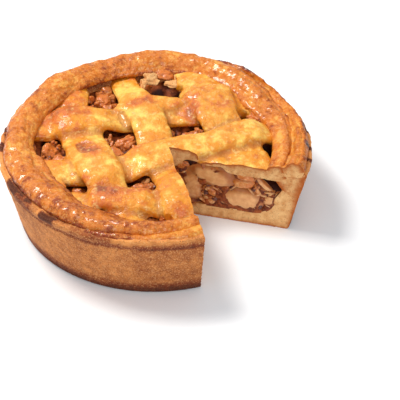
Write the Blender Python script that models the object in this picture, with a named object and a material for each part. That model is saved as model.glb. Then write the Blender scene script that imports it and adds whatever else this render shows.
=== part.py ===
"""A deep fruit pie with a woven pastry lattice and one slice cut out.

Metres, +Z up. The origin is the middle of the flat underside. The missing slice lies
between the +X and -Y axes. Every piece is modelled neat first, then the oven's uneven
rise is applied to all of them alike, and last the slice is cut out.
"""

import math

import bmesh
import bpy
from mathutils import Matrix, Vector, noise

# Driving dimensions of the pie.
TOP_RADIUS = 0.120
BASE_RADIUS = 0.1085
RIM_HEIGHT = 0.0640
BASE_THICKNESS = 0.0115
WALL_THICKNESS = 0.0142
STRIP_THICKNESS = 0.0062
FIT_GAP = 0.0004

# Heights of the layers, from the shelf that carries the strips to the top of the lip.
SHELF_HEIGHT = 0.0472
LEDGE_HEIGHT = 0.0538
LIP_HEIGHT = 0.0574
FILLING_HEIGHT = 0.0462
WEAVE_LEVEL = 0.0537
WEAVE_RISE = 0.0036
STRIP_END_LEVEL = 0.0507

# Radii of the shelf's inner edge, of the step where the strips end, and of the lip.
SHELF_RADIUS = 0.0967
LEDGE_RADIUS = 0.1058
LIP_RADIUS = 0.1166

# The cut: its corner, and the directions of its two faces in degrees from +X.
CUT_CORNER = Vector((0.0116, -0.0130))
CUT_LEFT = -75.0
CUT_RIGHT = -14.0
CUT_REACH = 0.30
FILLING_RECESS = 0.0022

# Stations round the case and the filling, and the step along strips and rolls.
CASE_STATIONS = 64
FILLING_STATIONS = 32
STRIP_STEP = 0.0062
ROLL_STEP = 4.5

# How baking made the rim uneven: (degrees, millimetres), read smoothly round the circle.
CREST_LIFT = [(0, -1.0), (30, -2.8), (56, 1.6), (88, 2.2), (113, -0.6), (138, 2.4),
              (170, 0.4), (205, -0.6), (235, 0.8), (262, -1.2), (290, -2.0), (325, -1.6)]
OUTLINE_SWELL = [(0, 0.8), (30, -1.4), (56, 1.0), (90, 0.2), (125, 0.6), (152, -2.6),
                 (182, -1.2), (225, -0.2), (270, 0.0), (300, 0.2), (340, 0.9)]
# The height and radius from which the oven's unevenness grows, and the lattice's waves.
STILL_BELOW = 0.0380
RIM_BEGINS = 0.0780
PUFF_HEIGHT = 0.0024
# Inner and outer radius of the long rim roll, and each rim piece's crest from RIM_HEIGHT.
ROLL_INNER = [(0, 95.2), (16, 94.5), (34, 90.5), (52, 94.5), (74, 96.4), (88, 96.5),
              (104, 95.5), (135, 93.0), (180, 94.5), (204, 88.5), (218, 87.0), (237, 92.0),
              (258, 93.5), (290, 95.0)]
ROLL_OUTER = [(0, 104.0), (22, 109.4), (42, 112.0), (66, 113.4), (84, 115.8), (190, 115.8),
              (207, 114.0), (222, 112.6), (238, 113.2), (250, 113.6), (268, 110.5),
              (292, 103.5), (330, 101.0)]
ROLL_CREST = [(0, -3.4), (20, -2.2), (45, -0.6), (70, 0.0), (260, 0.0), (292, -1.6),
              (330, -4.0)]
SIDE_ROLL_CREST = [(0, 0.0), (40, -0.4), (60, -3.6), (76, -7.8), (300, 0.0)]
FOLD_CREST = [(0, -7.0), (240, -6.8), (262, -3.4), (292, -2.0)]

# A rim roll's section: share of its span from the outer edge, and share of its height.
ROLL_SECTION = [(0.03, 0.0), (0.0, 0.42), (0.07, 0.76), (0.21, 0.95), (0.38, 1.0),
                (0.57, 0.91), (0.76, 0.67), (0.91, 0.36), (1.0, 0.09), (0.96, 0.0),
                (0.5, 0.0)]
# A strip's section: shares of its width and of its thickness.
STRIP_SECTION = [(-0.40, -0.5), (-0.14, -0.5), (0.14, -0.5), (0.40, -0.5), (0.5, -0.12),
                 (0.46, 0.20), (0.27, 0.44), (0.0, 0.5), (-0.27, 0.44), (-0.46, 0.20),
                 (-0.5, -0.12)]

# Strips: points of the middle line and the width there, in tenths of TOP_RADIUS.
DOWN_STRIPS = {
    "lattice_down_1": [(-6.6, 8.2, 2.4), (-5.85, 5.7, 2.4), (-5.2, 2.6, 2.4), (-4.45, 0.0, 2.7),
                       (-3.6, -2.2, 2.6), (-2.75, -4.2, 2.3), (-1.8, -6.4, 2.1),
                       (-1.0, -9.0, 2.1)],
    "lattice_down_2": [(-2.7, 9.2, 1.9), (-1.9, 6.3, 1.9), (-0.95, 3.7, 2.2), (-0.05, 1.0, 2.35),
                       (0.6, -1.4, 2.2), (1.2, -4.0, 2.0), (1.8, -7.0, 2.0), (2.2, -9.4, 2.2)],
    "lattice_down_3": [(2.1, 9.2, 2.6), (3.0, 6.1, 2.75), (3.9, 3.6, 2.8), (4.9, 1.2, 2.7),
                       (5.75, -1.0, 3.0), (7.1, -4.6, 3.4)],
}
ACROSS_STRIPS = {
    "lattice_across_1": [(-9.4, 2.2, 2.5), (-6.2, 2.4, 2.4), (-3.8, 2.7, 2.0), (-1.6, 3.3, 2.1),
                         (0.8, 3.8, 2.4), (3.2, 4.0, 2.3), (5.6, 4.6, 2.2), (8.6, 5.4, 2.2)],
    "lattice_across_2": [(-9.4, -1.8, 2.0), (-6.5, -2.4, 2.0), (-4.0, -2.4, 2.1),
                         (-1.2, -1.85, 2.4), (1.2, -0.85, 2.2), (3.2, -0.2, 2.0),
                         (5.4, 0.9, 2.0), (7.4, 1.7, 2.1), (9.4, 2.3, 2.2)],
    "lattice_across_3": [(-8.2, -4.8, 1.5), (-5.2, -5.4, 1.5), (-2.4, -5.7, 1.65),
                         (0.2, -5.85, 1.9), (2.4, -5.3, 1.8), (4.4, -4.4, 1.8)],
}
# The crossings where the down strip lies on top. At the others it lies underneath.
DOWN_ON_TOP = [("lattice_down_1", "lattice_across_2"), ("lattice_down_2", "lattice_across_1"),
               ("lattice_down_2", "lattice_across_3"), ("lattice_down_3", "lattice_across_1")]

# Fruit pieces at the cut: distance from the corner along the face, height, half length
# and half height in millimetres, and tilt in degrees.
RIGHT_FACE_FRUIT = [(28, 41.0, 19.0, 7.2, -14), (55, 20.5, 17.0, 9.4, 2),
                    (19, 25.0, 7.5, 12.0, 8), (57, 43.0, 8.5, 3.4, -6),
                    (57, 35.0, 8.5, 4.6, 8), (74, 38.0, 9.0, 3.4, -42),
                    (78, 23.5, 7.0, 5.2, -24), (85, 32.0, 3.4, 3.0, 0)]
LEFT_FACE_FRUIT = [(17, 26.5, 14.5, 11.0, -3), (44, 29.0, 12.0, 10.5, 4),
                   (39, 16.0, 6.5, 3.6, 12), (75, 28.5, 12.0, 11.0, -32),
                   (64, 40.0, 7.5, 4.2, 28), (25, 42.0, 12.0, 2.8, -4),
                   (60, 18.0, 6.0, 4.6, -10)]
# Raisins at the same faces: distance, height and half size in millimetres.
RIGHT_FACE_RAISINS = [(35, 17.0, 3.4), (32.5, 24.5, 3.8), (28, 15.5, 2.6), (8, 42.0, 3.4),
                      (67, 31.0, 3.0), (48.5, 33.0, 2.4), (70, 17.0, 2.6)]
LEFT_FACE_RAISINS = [(11, 41.0, 2.8), (58, 27.0, 3.0), (68, 16.5, 2.6), (26, 14.5, 2.4),
                     (44, 42.5, 2.4)]
FACE_DEPTH = 6.0
# Keeps the pieces' own edges off the plane of the cut.
OFF_PLANE = 0.0006
# Fruit pieces in the openings of the lattice: x and y in tenths of TOP_RADIUS, half
# length, half width and rise above the filling in millimetres, and turn in degrees.
OPENING_FRUIT = [(-3.9, 5.5, 11.0, 7.5, 4.2, 66), (-3.0, 4.6, 8.5, 6.5, 3.0, 20),
                 (-3.4, 6.9, 9.0, 6.5, 3.8, -10), (-1.9, 1.1, 9.0, 6.5, 3.8, 35),
                 (-2.8, 0.0, 8.0, 6.5, 2.6, -50), (-1.5, -0.2, 7.5, 5.5, 3.0, 80),
                 (2.2, 1.7, 10.0, 6.5, 3.2, 14), (3.1, 1.0, 7.0, 5.0, 2.4, 70),
                 (-7.0, 0.5, 10.5, 7.0, 3.4, 75), (-6.2, -0.6, 9.0, 6.5, 2.4, -20),
                 (-0.7, -3.9, 11.0, 7.5, 3.0, 5), (0.3, -7.3, 9.5, 6.0, 3.2, -5),
                 (-0.5, 6.6, 8.0, 6.0, 3.0, -30), (1.2, 6.5, 8.0, 6.0, 3.6, 20),
                 (0.4, 7.3, 9.0, 7.5, 9.4, -15), (6.3, 2.7, 9.0, 6.5, 3.0, -50),
                 (-4.9, -4.2, 8.0, 6.0, 2.2, -30)]
# Pieces of half this length in millimetres, such as raisins, are made with fewer faces.
SMALL_PIECE = 4.0
# How far a strip's underside reaches beyond its edge when it limits the filling.
CEILING_MARGIN = 0.0028


def smooth(share):
    """0 below 0, 1 above 1, and an even S between them."""
    share = min(max(share, 0.0), 1.0)
    return share * share * (3 - 2 * share)


def around(angle, table):
    """The table's value at an angle, read smoothly round the circle."""
    angle %= 360
    closed = table + [(table[0][0] + 360, table[0][1])]
    for (start, low), (end, high) in zip(closed, closed[1:]):
        if start <= angle <= end:
            return low + (high - low) * smooth((angle - start) / (end - start))
    return table[0][1]


def direction(angle):
    """The flat unit vector at an angle in degrees."""
    return Vector((math.cos(math.radians(angle)), math.sin(math.radians(angle)), 0))


def baked(point):
    """Where a point of the neat pie ends up once the oven has made it uneven.

    Nothing moves below STILL_BELOW, so the base stays flat. The rim follows its tables
    and the lattice inside it rises in soft waves.
    """
    radius = math.hypot(point.x, point.y)
    angle = math.degrees(math.atan2(point.y, point.x))
    risen = smooth((point.z - STILL_BELOW) / (WEAVE_LEVEL - STILL_BELOW))
    at_rim = smooth((radius - RIM_BEGINS) / (SHELF_RADIUS - RIM_BEGINS))
    puff = PUFF_HEIGHT * noise.noise(Vector((point.x * 22, point.y * 22, 3.1)))
    lift = at_rim * around(angle, CREST_LIFT) / 1000 + (1 - at_rim) * puff
    swell = (radius / TOP_RADIUS) ** 3 * around(angle, OUTLINE_SWELL) / 1000
    scale = 1 + swell / radius if radius > 0.001 else 1.0
    return Vector((point.x * scale, point.y * scale, point.z + risen * lift))


def material(name, colour, roughness):
    """A Principled BSDF with one colour."""
    made = bpy.data.materials.new(name)
    made.use_nodes = True
    shader = made.node_tree.nodes["Principled BSDF"]
    shader.inputs["Base Color"].default_value = (*colour, 1.0)
    shader.inputs["Roughness"].default_value = roughness
    shader.inputs["Metallic"].default_value = 0.0
    made.diffuse_color = (*colour, 1.0)
    return made


def to_object(name, builder, finish):
    """Turns a bmesh into a named object with its normals outwards."""
    bmesh.ops.recalc_face_normals(builder, faces=builder.faces)
    if builder.calc_volume(signed=True) < 0:
        bmesh.ops.reverse_faces(builder, faces=builder.faces)
    mesh = bpy.data.meshes.new(name)
    builder.to_mesh(mesh)
    builder.free()
    mesh.materials.append(finish)
    made = bpy.data.objects.new(name, mesh)
    bpy.context.scene.collection.objects.link(made)
    return made


def boolean(target, other, operation):
    """Applies a Boolean of another object to the target."""
    modifier = target.modifiers.new(operation.title(), "BOOLEAN")
    modifier.operation = operation
    modifier.solver = "MANIFOLD" if operation == "UNION" else "EXACT"
    modifier.object = other
    graph = bpy.context.evaluated_depsgraph_get()
    mesh = bpy.data.meshes.new_from_object(target.evaluated_get(graph))
    target.modifiers.clear()
    old = target.data
    target.data = mesh
    bpy.data.meshes.remove(old)


def bake(target):
    """Moves every vertex of an object by the oven's uneven rise."""
    for vertex in target.data.vertices:
        vertex.co = baked(vertex.co)


def finish_solid(target, weld=2e-5):
    """Welds what a Boolean left split and shades the solid smooth except at its edges."""
    builder = bmesh.new()
    builder.from_mesh(target.data)
    bmesh.ops.remove_doubles(builder, verts=builder.verts, dist=weld)
    bmesh.ops.dissolve_degenerate(builder, edges=builder.edges, dist=weld)
    bmesh.ops.triangulate(builder, faces=builder.faces)
    bmesh.ops.recalc_face_normals(builder, faces=builder.faces)
    builder.to_mesh(target.data)
    builder.free()
    target.data.shade_smooth()
    target.data.set_sharp_from_angle(angle=math.radians(42))


def prism(name, outline, bottom, top):
    """A helper solid that stands on a flat outline. It is never rendered."""
    made = bmesh.new()
    low = [made.verts.new((point[0], point[1], bottom)) for point in outline]
    high = [made.verts.new((point[0], point[1], top)) for point in outline]
    made.faces.new(reversed(low))
    made.faces.new(high)
    for k in range(len(outline)):
        other = (k + 1) % len(outline)
        made.faces.new((low[k], low[other], high[other], high[k]))
    helper = to_object(name, made, CRUST)
    helper.hide_render = True
    helper.display_type = "WIRE"
    return helper


def wedge(name, setback):
    """A tall prism over the missing slice. Setback moves both its faces into the pie."""
    half_angle = math.radians((CUT_RIGHT - CUT_LEFT) / 2)
    middle = direction((CUT_RIGHT + CUT_LEFT) / 2)
    corner = CUT_CORNER.to_3d() - middle * setback / math.sin(half_angle)
    sides = [corner + direction(angle) * CUT_REACH for angle in (CUT_LEFT, CUT_RIGHT)]
    return prism(name, [corner] + sides, -0.02, 0.12)


def revolve(profile, stations):
    """Spins (radius, height) points that start and end on the axis."""
    made = bmesh.new()
    line = [made.verts.new((radius, 0, height)) for radius, height in profile]
    edges = [made.edges.new(pair) for pair in zip(line, line[1:])]
    bmesh.ops.spin(made, geom=line + edges, cent=(0, 0, 0), axis=(0, 0, 1),
                   angle=math.tau, steps=stations, use_merge=True)
    bmesh.ops.remove_doubles(made, verts=made.verts, dist=1e-5)
    return made


def wall_radius(height):
    """The outside of the case widens evenly from the base to the ledge."""
    return BASE_RADIUS + (TOP_RADIUS - BASE_RADIUS) * min(height / LEDGE_HEIGHT, 1.0)


def hollow_profile(clearance):
    """The hollow of the case, from the middle of its floor to just under the shelf."""
    corner_radius = 0.016
    floor = BASE_THICKNESS + clearance
    foot = wall_radius(floor) - WALL_THICKNESS - clearance
    points = [(0.0, floor), (0.045, floor)]
    for step in range(4):
        turned = math.radians(90 * step / 3)
        points.append((foot - corner_radius * (1 - math.sin(turned)),
                       floor + corner_radius * (1 - math.cos(turned))))
    points.append((wall_radius(0.037) - WALL_THICKNESS - clearance, 0.037))
    points.append((SHELF_RADIUS - clearance, FILLING_HEIGHT))
    return points


def hollow_radius(height):
    """How far the filling may reach sideways at a height."""
    wall = hollow_profile(FIT_GAP * 2.2)[2:]
    for (near, low), (far, high) in zip(wall, wall[1:]):
        if low <= height <= high:
            return near + (far - near) * (height - low) / (high - low)
    return wall[-1][0]


def make_case():
    """The thick pastry case: floor, wall, shelf for the strips, ledge and outer lip."""
    outer = [(0.0, 0.0), (0.050, 0.0), (BASE_RADIUS - 0.0050, 0.0),
             (BASE_RADIUS - 0.0012, 0.0016), (wall_radius(0.0060), 0.0060)]
    outer += [(wall_radius(height), height) for height in (0.018, 0.030, 0.042)]
    top = [(wall_radius(0.0525), 0.0525), (TOP_RADIUS, 0.0556), (TOP_RADIUS - 0.0012, LIP_HEIGHT),
           (LIP_RADIUS + 0.0004, LIP_HEIGHT - 0.0004), (LIP_RADIUS, LEDGE_HEIGHT),
           (LEDGE_RADIUS, LEDGE_HEIGHT), (LEDGE_RADIUS, SHELF_HEIGHT),
           (SHELF_RADIUS + 0.0006, SHELF_HEIGHT)]
    made = revolve(outer + top + hollow_profile(0.0)[::-1], CASE_STATIONS)
    for vertex in made.verts:
        place = vertex.co.copy()
        radius = place.to_2d().length
        angle = math.degrees(math.atan2(place.y, place.x)) % 360
        on_wall = smooth((radius - wall_radius(place.z) + 0.006) / 0.004)
        on_wall *= smooth((place.z - 0.001) / 0.005) * smooth((0.0560 - place.z) / 0.004)
        dent = 0.0006 * noise.noise(Vector((place.x * 55, place.y * 55, place.z * 90)))
        if radius > 0.05:
            vertex.co.x *= 1 + on_wall * dent / radius
            vertex.co.y *= 1 + on_wall * dent / radius
        on_lip = smooth((place.z - 0.0545) / 0.001)
        raised = 0.0036 * smooth((angle - 238) / 34) * smooth((330 - angle) / 20)
        vertex.co.z += on_lip * (0.0012 * noise.noise(place * 130) + raised)
    case = to_object("pastry_case", made, CRUST)
    bake(case)
    boolean(case, CUT, "DIFFERENCE")
    finish_solid(case)


def sweep(sections):
    """A closed tube through equal rings of points, with flat ends."""
    made = bmesh.new()
    rings = [[made.verts.new(point) for point in section] for section in sections]
    for ring, following in zip(rings, rings[1:]):
        for k in range(len(ring)):
            other = (k + 1) % len(ring)
            made.faces.new((ring[k], ring[other], following[other], following[k]))
    made.faces.new(rings[0])
    made.faces.new(reversed(rings[-1]))
    return made


def make_roll(name, start, end, inner, outer, crest, finish):
    """One piece of the rim: a dome on a flat underside, swept round part of the pie."""
    steps = round((end - start) / ROLL_STEP)
    sections = []
    for step in range(steps + 1):
        angle = start + (end - start) * step / steps
        low = LEDGE_HEIGHT + FIT_GAP
        span = outer(angle) - inner(angle)
        height = RIM_HEIGHT + around(angle, crest) / 1000 - low
        ring = []
        for across, share in ROLL_SECTION:
            radius = outer(angle) - span * across
            point = direction(angle) * radius + Vector((0, 0, low + height * share))
            lump = 0.0010 * noise.noise(point * 75 + Vector((9.2, 0, 4.0)))
            point.z += lump * smooth(share * 2.5) * min(span / 0.015, 1.0)
            ring.append(baked(point))
        sections.append(ring)
    roll = to_object(name, sweep(sections), finish)
    boolean(roll, CUT, "DIFFERENCE")
    finish_solid(roll)


def left_inner(angle):
    """The long roll's inner radius, where the lattice begins."""
    return around(angle, ROLL_INNER) / 1000


def left_outer(angle):
    """The long roll's outer radius."""
    return around(angle, ROLL_OUTER) / 1000


def beside_left(angle):
    """Just outside the long roll, where the side roll and the front fold begin."""
    return left_outer(angle) + FIT_GAP * 1.5


def within_lip(angle):
    """Just inside the lip of the case, and never thinner than a tongue of dough."""
    return max(LIP_RADIUS - FIT_GAP * 1.5, beside_left(angle) + 0.001)


def middle_line(points):
    """Evenly spaced points of a smooth curve. Their third value is the strip's width."""
    corners = [Vector(point) * TOP_RADIUS / 10 for point in points]
    padded = [corners[0] * 2 - corners[1]] + corners + [corners[-1] * 2 - corners[-2]]
    dense = []
    for before, start, end, after in zip(padded, padded[1:], padded[2:], padded[3:]):
        for step in range(24):
            t = step / 24
            dense.append(0.5 * (2 * start + (end - before) * t
                                + (2 * before - 5 * start + 4 * end - after) * t ** 2
                                + (3 * start - before - 3 * end + after) * t ** 3))
    dense.append(corners[-1])
    travelled = [0.0]
    for here, following in zip(dense, dense[1:]):
        travelled.append(travelled[-1] + (following - here).to_2d().length)
    count = max(round(travelled[-1] / STRIP_STEP), 2)
    spaced = []
    for step in range(count + 1):
        wanted = travelled[-1] * step / count
        k = min(sum(1 for value in travelled if value <= wanted), len(dense) - 1)
        share = (wanted - travelled[k - 1]) / (travelled[k] - travelled[k - 1])
        spaced.append(dense[k - 1].lerp(dense[k], min(share, 1.0)))
    return [point.to_2d().to_3d() for point in spaced], [point.z for point in spaced]


def crossing(line, other):
    """Where two lines meet, as metres along each, and the sine of the angle between them."""
    distance, a, b = min(((line[a] - other[b]).length, a, b)
                         for a in range(1, len(line) - 1) for b in range(1, len(other) - 1))
    if distance > STRIP_STEP:
        return None
    one = (line[a + 1] - line[a - 1]).normalized()
    two = (other[b + 1] - other[b - 1]).normalized()
    turn = one.cross(two).z
    apart = other[b] - line[a]
    along_line = a * (line[1] - line[0]).length + apart.cross(two).z / turn
    along_other = b * (other[1] - other[0]).length + apart.cross(one).z / turn
    return along_line, along_other, abs(turn)


def clear_of_roll(line, k, width):
    """Whether a strip's middle and both its edges are still inside the rim roll."""
    ahead = line[min(k + 1, len(line) - 1)] - line[max(k - 1, 0)]
    side = Vector((ahead.y, -ahead.x, 0)).normalized() * width * 0.5
    for point in (line[k] - side, line[k], line[k] + side):
        if point.length > left_inner(math.degrees(math.atan2(point.y, point.x))) - 0.0008:
            return False
    return True


def level_knots(line, widths, crossings):
    """Level stretches (start, end, height) along a strip, in metres from its start."""
    knots = []
    for position, reach, rises in crossings:
        knots.append([position - reach, position + reach,
                      WEAVE_LEVEL + (WEAVE_RISE if rises else -WEAVE_RISE)])
    step = (line[1] - line[0]).length
    total = step * (len(line) - 1)
    for k, edge in ((0, 0.0), (len(line) - 1, total)):
        if line[k].length > 0.09:
            inside = [step * n for n in range(len(line)) if clear_of_roll(line, n, widths[n])]
            if k == 0:
                knots.append([edge - 1.0, inside[0], STRIP_END_LEVEL])
            else:
                knots.append([inside[-1], edge + 1.0, STRIP_END_LEVEL])
    knots.sort()
    for before, after in zip(knots, knots[1:]):
        if after[0] - before[1] < 0.006:
            middle = (after[0] + before[1]) / 2
            before[1] = middle - 0.003
            after[0] = middle + 0.003
    return knots


def level_at(distance, knots):
    """The strip's height at a distance from its start."""
    if distance <= knots[0][1]:
        return knots[0][2]
    for (_, end, low), (start, stop, high) in zip(knots, knots[1:]):
        if distance <= start:
            return low + (high - low) * smooth((distance - end) / (start - end))
        if distance <= stop:
            return high
    return knots[-1][2]


def width_at(line, widths, distance):
    """The strip's width at a distance from its start."""
    return widths[min(max(round(distance / (line[1] - line[0]).length), 0), len(widths) - 1)]


def plan_lattice():
    """Middle lines with their heights for every strip, woven over and under each other."""
    lines = {}
    widths = {}
    for name, points in {**DOWN_STRIPS, **ACROSS_STRIPS}.items():
        lines[name], widths[name] = middle_line(points)
    meetings = {name: [] for name in lines}
    for down in DOWN_STRIPS:
        for across in ACROSS_STRIPS:
            met = crossing(lines[down], lines[across])
            if met is None:
                continue
            along_down, along_across, sine = met
            lean = math.sqrt(1 - min(sine, 1.0) ** 2) / sine
            on_top = (down, across) in DOWN_ON_TOP
            down_width = width_at(lines[down], widths[down], along_down)
            across_width = width_at(lines[across], widths[across], along_across)
            meetings[down].append((along_down, across_width / 2 / sine + 0.25 * lean * down_width
                                   + STRIP_STEP / 4, on_top))
            meetings[across].append((along_across, down_width / 2 / sine
                                     + 0.25 * lean * across_width + STRIP_STEP / 4, not on_top))
    plan = {}
    for name, line in lines.items():
        knots = level_knots(line, widths[name], meetings[name])
        step = (line[1] - line[0]).length
        plan[name] = (widths[name], [point + Vector((0, 0, level_at(step * k, knots)))
                                     for k, point in enumerate(line)])
    return plan


def make_strip(name, widths, line, finish):
    """One woven strip of pastry, ended on the shelf of the case."""
    sections = []
    for k, point in enumerate(line):
        ahead = line[min(k + 1, len(line) - 1)] - line[max(k - 1, 0)]
        side = Vector((ahead.y, -ahead.x, 0)).normalized()
        own_width = widths[k] * (1 + 0.08 * noise.noise(point * 31))
        sections.append([point + side * own_width * across + Vector((0, 0, STRIP_THICKNESS * up))
                         for across, up in STRIP_SECTION])
    strip = to_object(name, sweep(sections), finish)
    boolean(strip, STRIP_ROOM, "INTERSECT")
    bake(strip)
    boolean(strip, CUT, "DIFFERENCE")
    finish_solid(strip)


def ceiling(place, plan):
    """How high the filling may reach at a place before it touches a strip."""
    limit = 0.0600
    for widths, line in plan.values():
        away, k = min(((point.to_2d() - place.to_2d()).length, k) for k, point in enumerate(line))
        if away < widths[k] / 2 + CEILING_MARGIN:
            limit = min(limit, line[k].z - STRIP_THICKNESS / 2 - 0.0008)
    return limit


def lumpy_block(centre, half_sizes, axes, seed, plan):
    """A soft-cornered piece of fruit: a ball pushed towards a box and made uneven."""
    made = bmesh.new()
    bmesh.ops.create_icosphere(made, subdivisions=2 if half_sizes[0] > SMALL_PIECE else 1,
                               radius=1.0)
    for vertex in made.verts:
        boxed = Vector([math.copysign(abs(value) ** 0.62, value) for value in vertex.co])
        uneven = 1 + 0.16 * noise.noise(vertex.co * 1.3 + Vector((seed * 7.3, seed * 1.9, 0)))
        local = Vector([value * size * uneven / 1000 for value, size in zip(boxed, half_sizes)])
        place = centre + axes @ local
        place.z = max(place.z, BASE_THICKNESS + FIT_GAP * 2)
        place.z = min(place.z, ceiling(place, plan) - 0.00003 * (seed % 17))
        inward = min(hollow_radius(place.z) / place.to_2d().length, 1.0)
        vertex.co = Vector((place.x * inward, place.y * inward, place.z))
    PIECES.objects.link(to_object(f"piece_{seed}", made, FRUIT))


def fill_face(angle, fruit, raisins, seed, plan):
    """The fruit and raisins that the knife met on one face of the cut."""
    up = Vector((0, 0, 1))
    along = direction(angle)
    pieces = [(distance, height, length, rise, tilt) for distance, height, length, rise, tilt in fruit]
    pieces += [(distance, height, size, size * 0.8, 17 * k)
               for k, (distance, height, size) in enumerate(raisins)]
    for k, (distance, height, length, rise, tilt) in enumerate(pieces):
        turned = math.radians(tilt)
        lengthwise = along * math.cos(turned) + up * math.sin(turned)
        upward = up * math.cos(turned) - along * math.sin(turned)
        axes = Matrix((lengthwise, along.cross(up), upward)).transposed()
        centre = CUT_CORNER.to_3d() + along * distance / 1000 + up * height / 1000
        centre += axes.col[1] * OFF_PLANE
        depth = min(FACE_DEPTH, length * 1.3)
        lumpy_block(centre, (length, depth, rise), axes, seed + k, plan)


def make_filling(plan):
    """The filling: a core that fills the case, with fruit pieces and raisins fused on."""
    edge = SHELF_RADIUS - FIT_GAP
    top = [(edge - edge * k / 6, FILLING_HEIGHT) for k in range(1, 7)]
    made = revolve(hollow_profile(FIT_GAP) + top, FILLING_STATIONS)
    for vertex in made.verts:
        at_top = smooth((vertex.co.z - 0.0455) / 0.0005)
        at_top *= smooth((0.094 - vertex.co.to_2d().length) / 0.012)
        vertex.co.z -= at_top * 0.0012 * (1 + noise.noise(vertex.co * 90))
    core = to_object("pie_filling", made, FRUIT)
    boolean(core, wedge("recess_cutter", FILLING_RECESS), "DIFFERENCE")
    fill_face(CUT_RIGHT, RIGHT_FACE_FRUIT, RIGHT_FACE_RAISINS, 1, plan)
    fill_face(CUT_LEFT, LEFT_FACE_FRUIT, LEFT_FACE_RAISINS, 41, plan)
    for k, (x, y, length, width, rise, turn) in enumerate(OPENING_FRUIT):
        half_height = 0.0045
        centre = Vector((x * TOP_RADIUS / 10, y * TOP_RADIUS / 10,
                         FILLING_HEIGHT + rise / 1000 - half_height))
        axes = Matrix.Rotation(math.radians(turn), 3, "Z")
        lumpy_block(centre, (length, width, half_height * 1000), axes, 81 + k, plan)
    for piece in list(PIECES.objects):
        boolean(core, piece, "UNION")
    bake(core)
    boolean(core, CUT, "DIFFERENCE")
    finish_solid(core, 1e-7)
    for helper in list(PIECES.objects):
        bpy.data.objects.remove(helper)
    bpy.data.objects.remove(bpy.data.objects["recess_cutter"])
    bpy.data.collections.remove(PIECES)


for old in list(bpy.data.objects):
    bpy.data.objects.remove(old)

CRUST = material("baked crust", (0.60, 0.33, 0.14), 0.72)
ROLL = material("glazed rim", (0.66, 0.32, 0.10), 0.42)
FOLD = material("pale rim dough", (0.74, 0.44, 0.19), 0.55)
STRIP = material("golden lattice", (0.86, 0.56, 0.19), 0.40)
FRUIT = material("fruit filling", (0.55, 0.30, 0.14), 0.35)

CUT = wedge("slice_cutter", 0.0)
STRIP_ROOM = prism("strip_end_cutter", [direction(3.75 * k) * (LEDGE_RADIUS - 0.0007)
                                        for k in range(96)], 0.03, 0.08)
PIECES = bpy.data.collections.new("filling_pieces")
bpy.context.scene.collection.children.link(PIECES)

make_case()
lattice = plan_lattice()
make_filling(lattice)
for strip_name, (strip_widths, strip_line) in lattice.items():
    make_strip(strip_name, strip_widths, strip_line, STRIP)
make_roll("rim_roll_left", -32, 294, left_inner, left_outer, ROLL_CREST, ROLL)
make_roll("rim_roll_right", -34, 72, beside_left, within_lip, SIDE_ROLL_CREST, ROLL)
make_roll("rim_fold_front", 246, 294, beside_left, within_lip, FOLD_CREST, FOLD)
bpy.data.objects.remove(CUT)
bpy.data.objects.remove(STRIP_ROOM)
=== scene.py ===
# %% [markdown]
# # A deep fruit pie with a woven lattice and one slice cut out
#
# The solids of the pie come in as a fixed frame. They give the size and place of the case,
# the rim, the six strips and the filling, but they are plain. This lesson dresses them as
# food: dough that puffed and browned unevenly, a sandy wall, a pale crumb where the knife
# went through, and soft fruit in dark syrup. The frame is loaded first and its box is kept,
# because nothing that is made here may grow past it.

import itertools
import math

import bmesh
import bpy
import numpy as np
from mathutils import Matrix, Vector
from mathutils.bvhtree import BVHTree


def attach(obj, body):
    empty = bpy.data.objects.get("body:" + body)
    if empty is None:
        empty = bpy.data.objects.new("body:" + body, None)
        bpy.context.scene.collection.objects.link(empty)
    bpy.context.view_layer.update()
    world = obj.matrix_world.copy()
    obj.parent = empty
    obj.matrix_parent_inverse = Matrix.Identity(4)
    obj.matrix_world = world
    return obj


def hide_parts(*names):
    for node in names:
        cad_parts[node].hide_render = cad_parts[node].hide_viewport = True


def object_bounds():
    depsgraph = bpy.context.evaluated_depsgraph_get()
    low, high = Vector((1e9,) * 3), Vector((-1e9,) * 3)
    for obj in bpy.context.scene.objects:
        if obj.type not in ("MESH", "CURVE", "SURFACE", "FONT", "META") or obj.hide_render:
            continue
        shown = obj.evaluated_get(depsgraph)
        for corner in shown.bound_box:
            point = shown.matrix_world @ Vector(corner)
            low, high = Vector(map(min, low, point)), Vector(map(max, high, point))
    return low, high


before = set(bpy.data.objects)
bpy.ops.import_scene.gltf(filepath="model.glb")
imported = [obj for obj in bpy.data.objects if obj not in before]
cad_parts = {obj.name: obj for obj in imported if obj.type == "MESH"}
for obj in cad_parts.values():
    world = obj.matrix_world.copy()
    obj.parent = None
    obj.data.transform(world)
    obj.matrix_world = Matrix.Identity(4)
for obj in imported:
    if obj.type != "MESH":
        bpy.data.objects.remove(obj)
cad_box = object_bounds()
bpy.ops.object.select_all(action="DESELECT")
bpy.context.scene.view_settings.view_transform = "Standard"
print("box of the solids in mm:", [[round(value * 1000, 1) for value in corner] for corner in cad_box])

# %% [markdown]
# ## The sizes that the looks share with the solids
#
# A few radii, heights and the cut's corner and directions are needed again, because the
# case and the filling are modelled anew with a finer surface. Lengths are in metres unless
# a comment says otherwise. Two tables say how baking moved the rim up and outwards as one
# goes round the pie.

# %% Sizes of the pie
TOP_RADIUS = 0.120
BASE_RADIUS = 0.1085
BASE_THICKNESS = 0.0115
WALL_THICKNESS = 0.0142
FIT_GAP = 0.0004
SHELF_HEIGHT = 0.0472
LEDGE_HEIGHT = 0.0538
LIP_HEIGHT = 0.0574
FILLING_HEIGHT = 0.0462
WEAVE_LEVEL = 0.0537
SHELF_RADIUS = 0.0967
LEDGE_RADIUS = 0.1058
LIP_RADIUS = 0.1166
# Baking moved nothing below this height or nearer the axis than this radius.
STILL_BELOW = 0.0380
RIM_BEGINS = 0.0780
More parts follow.
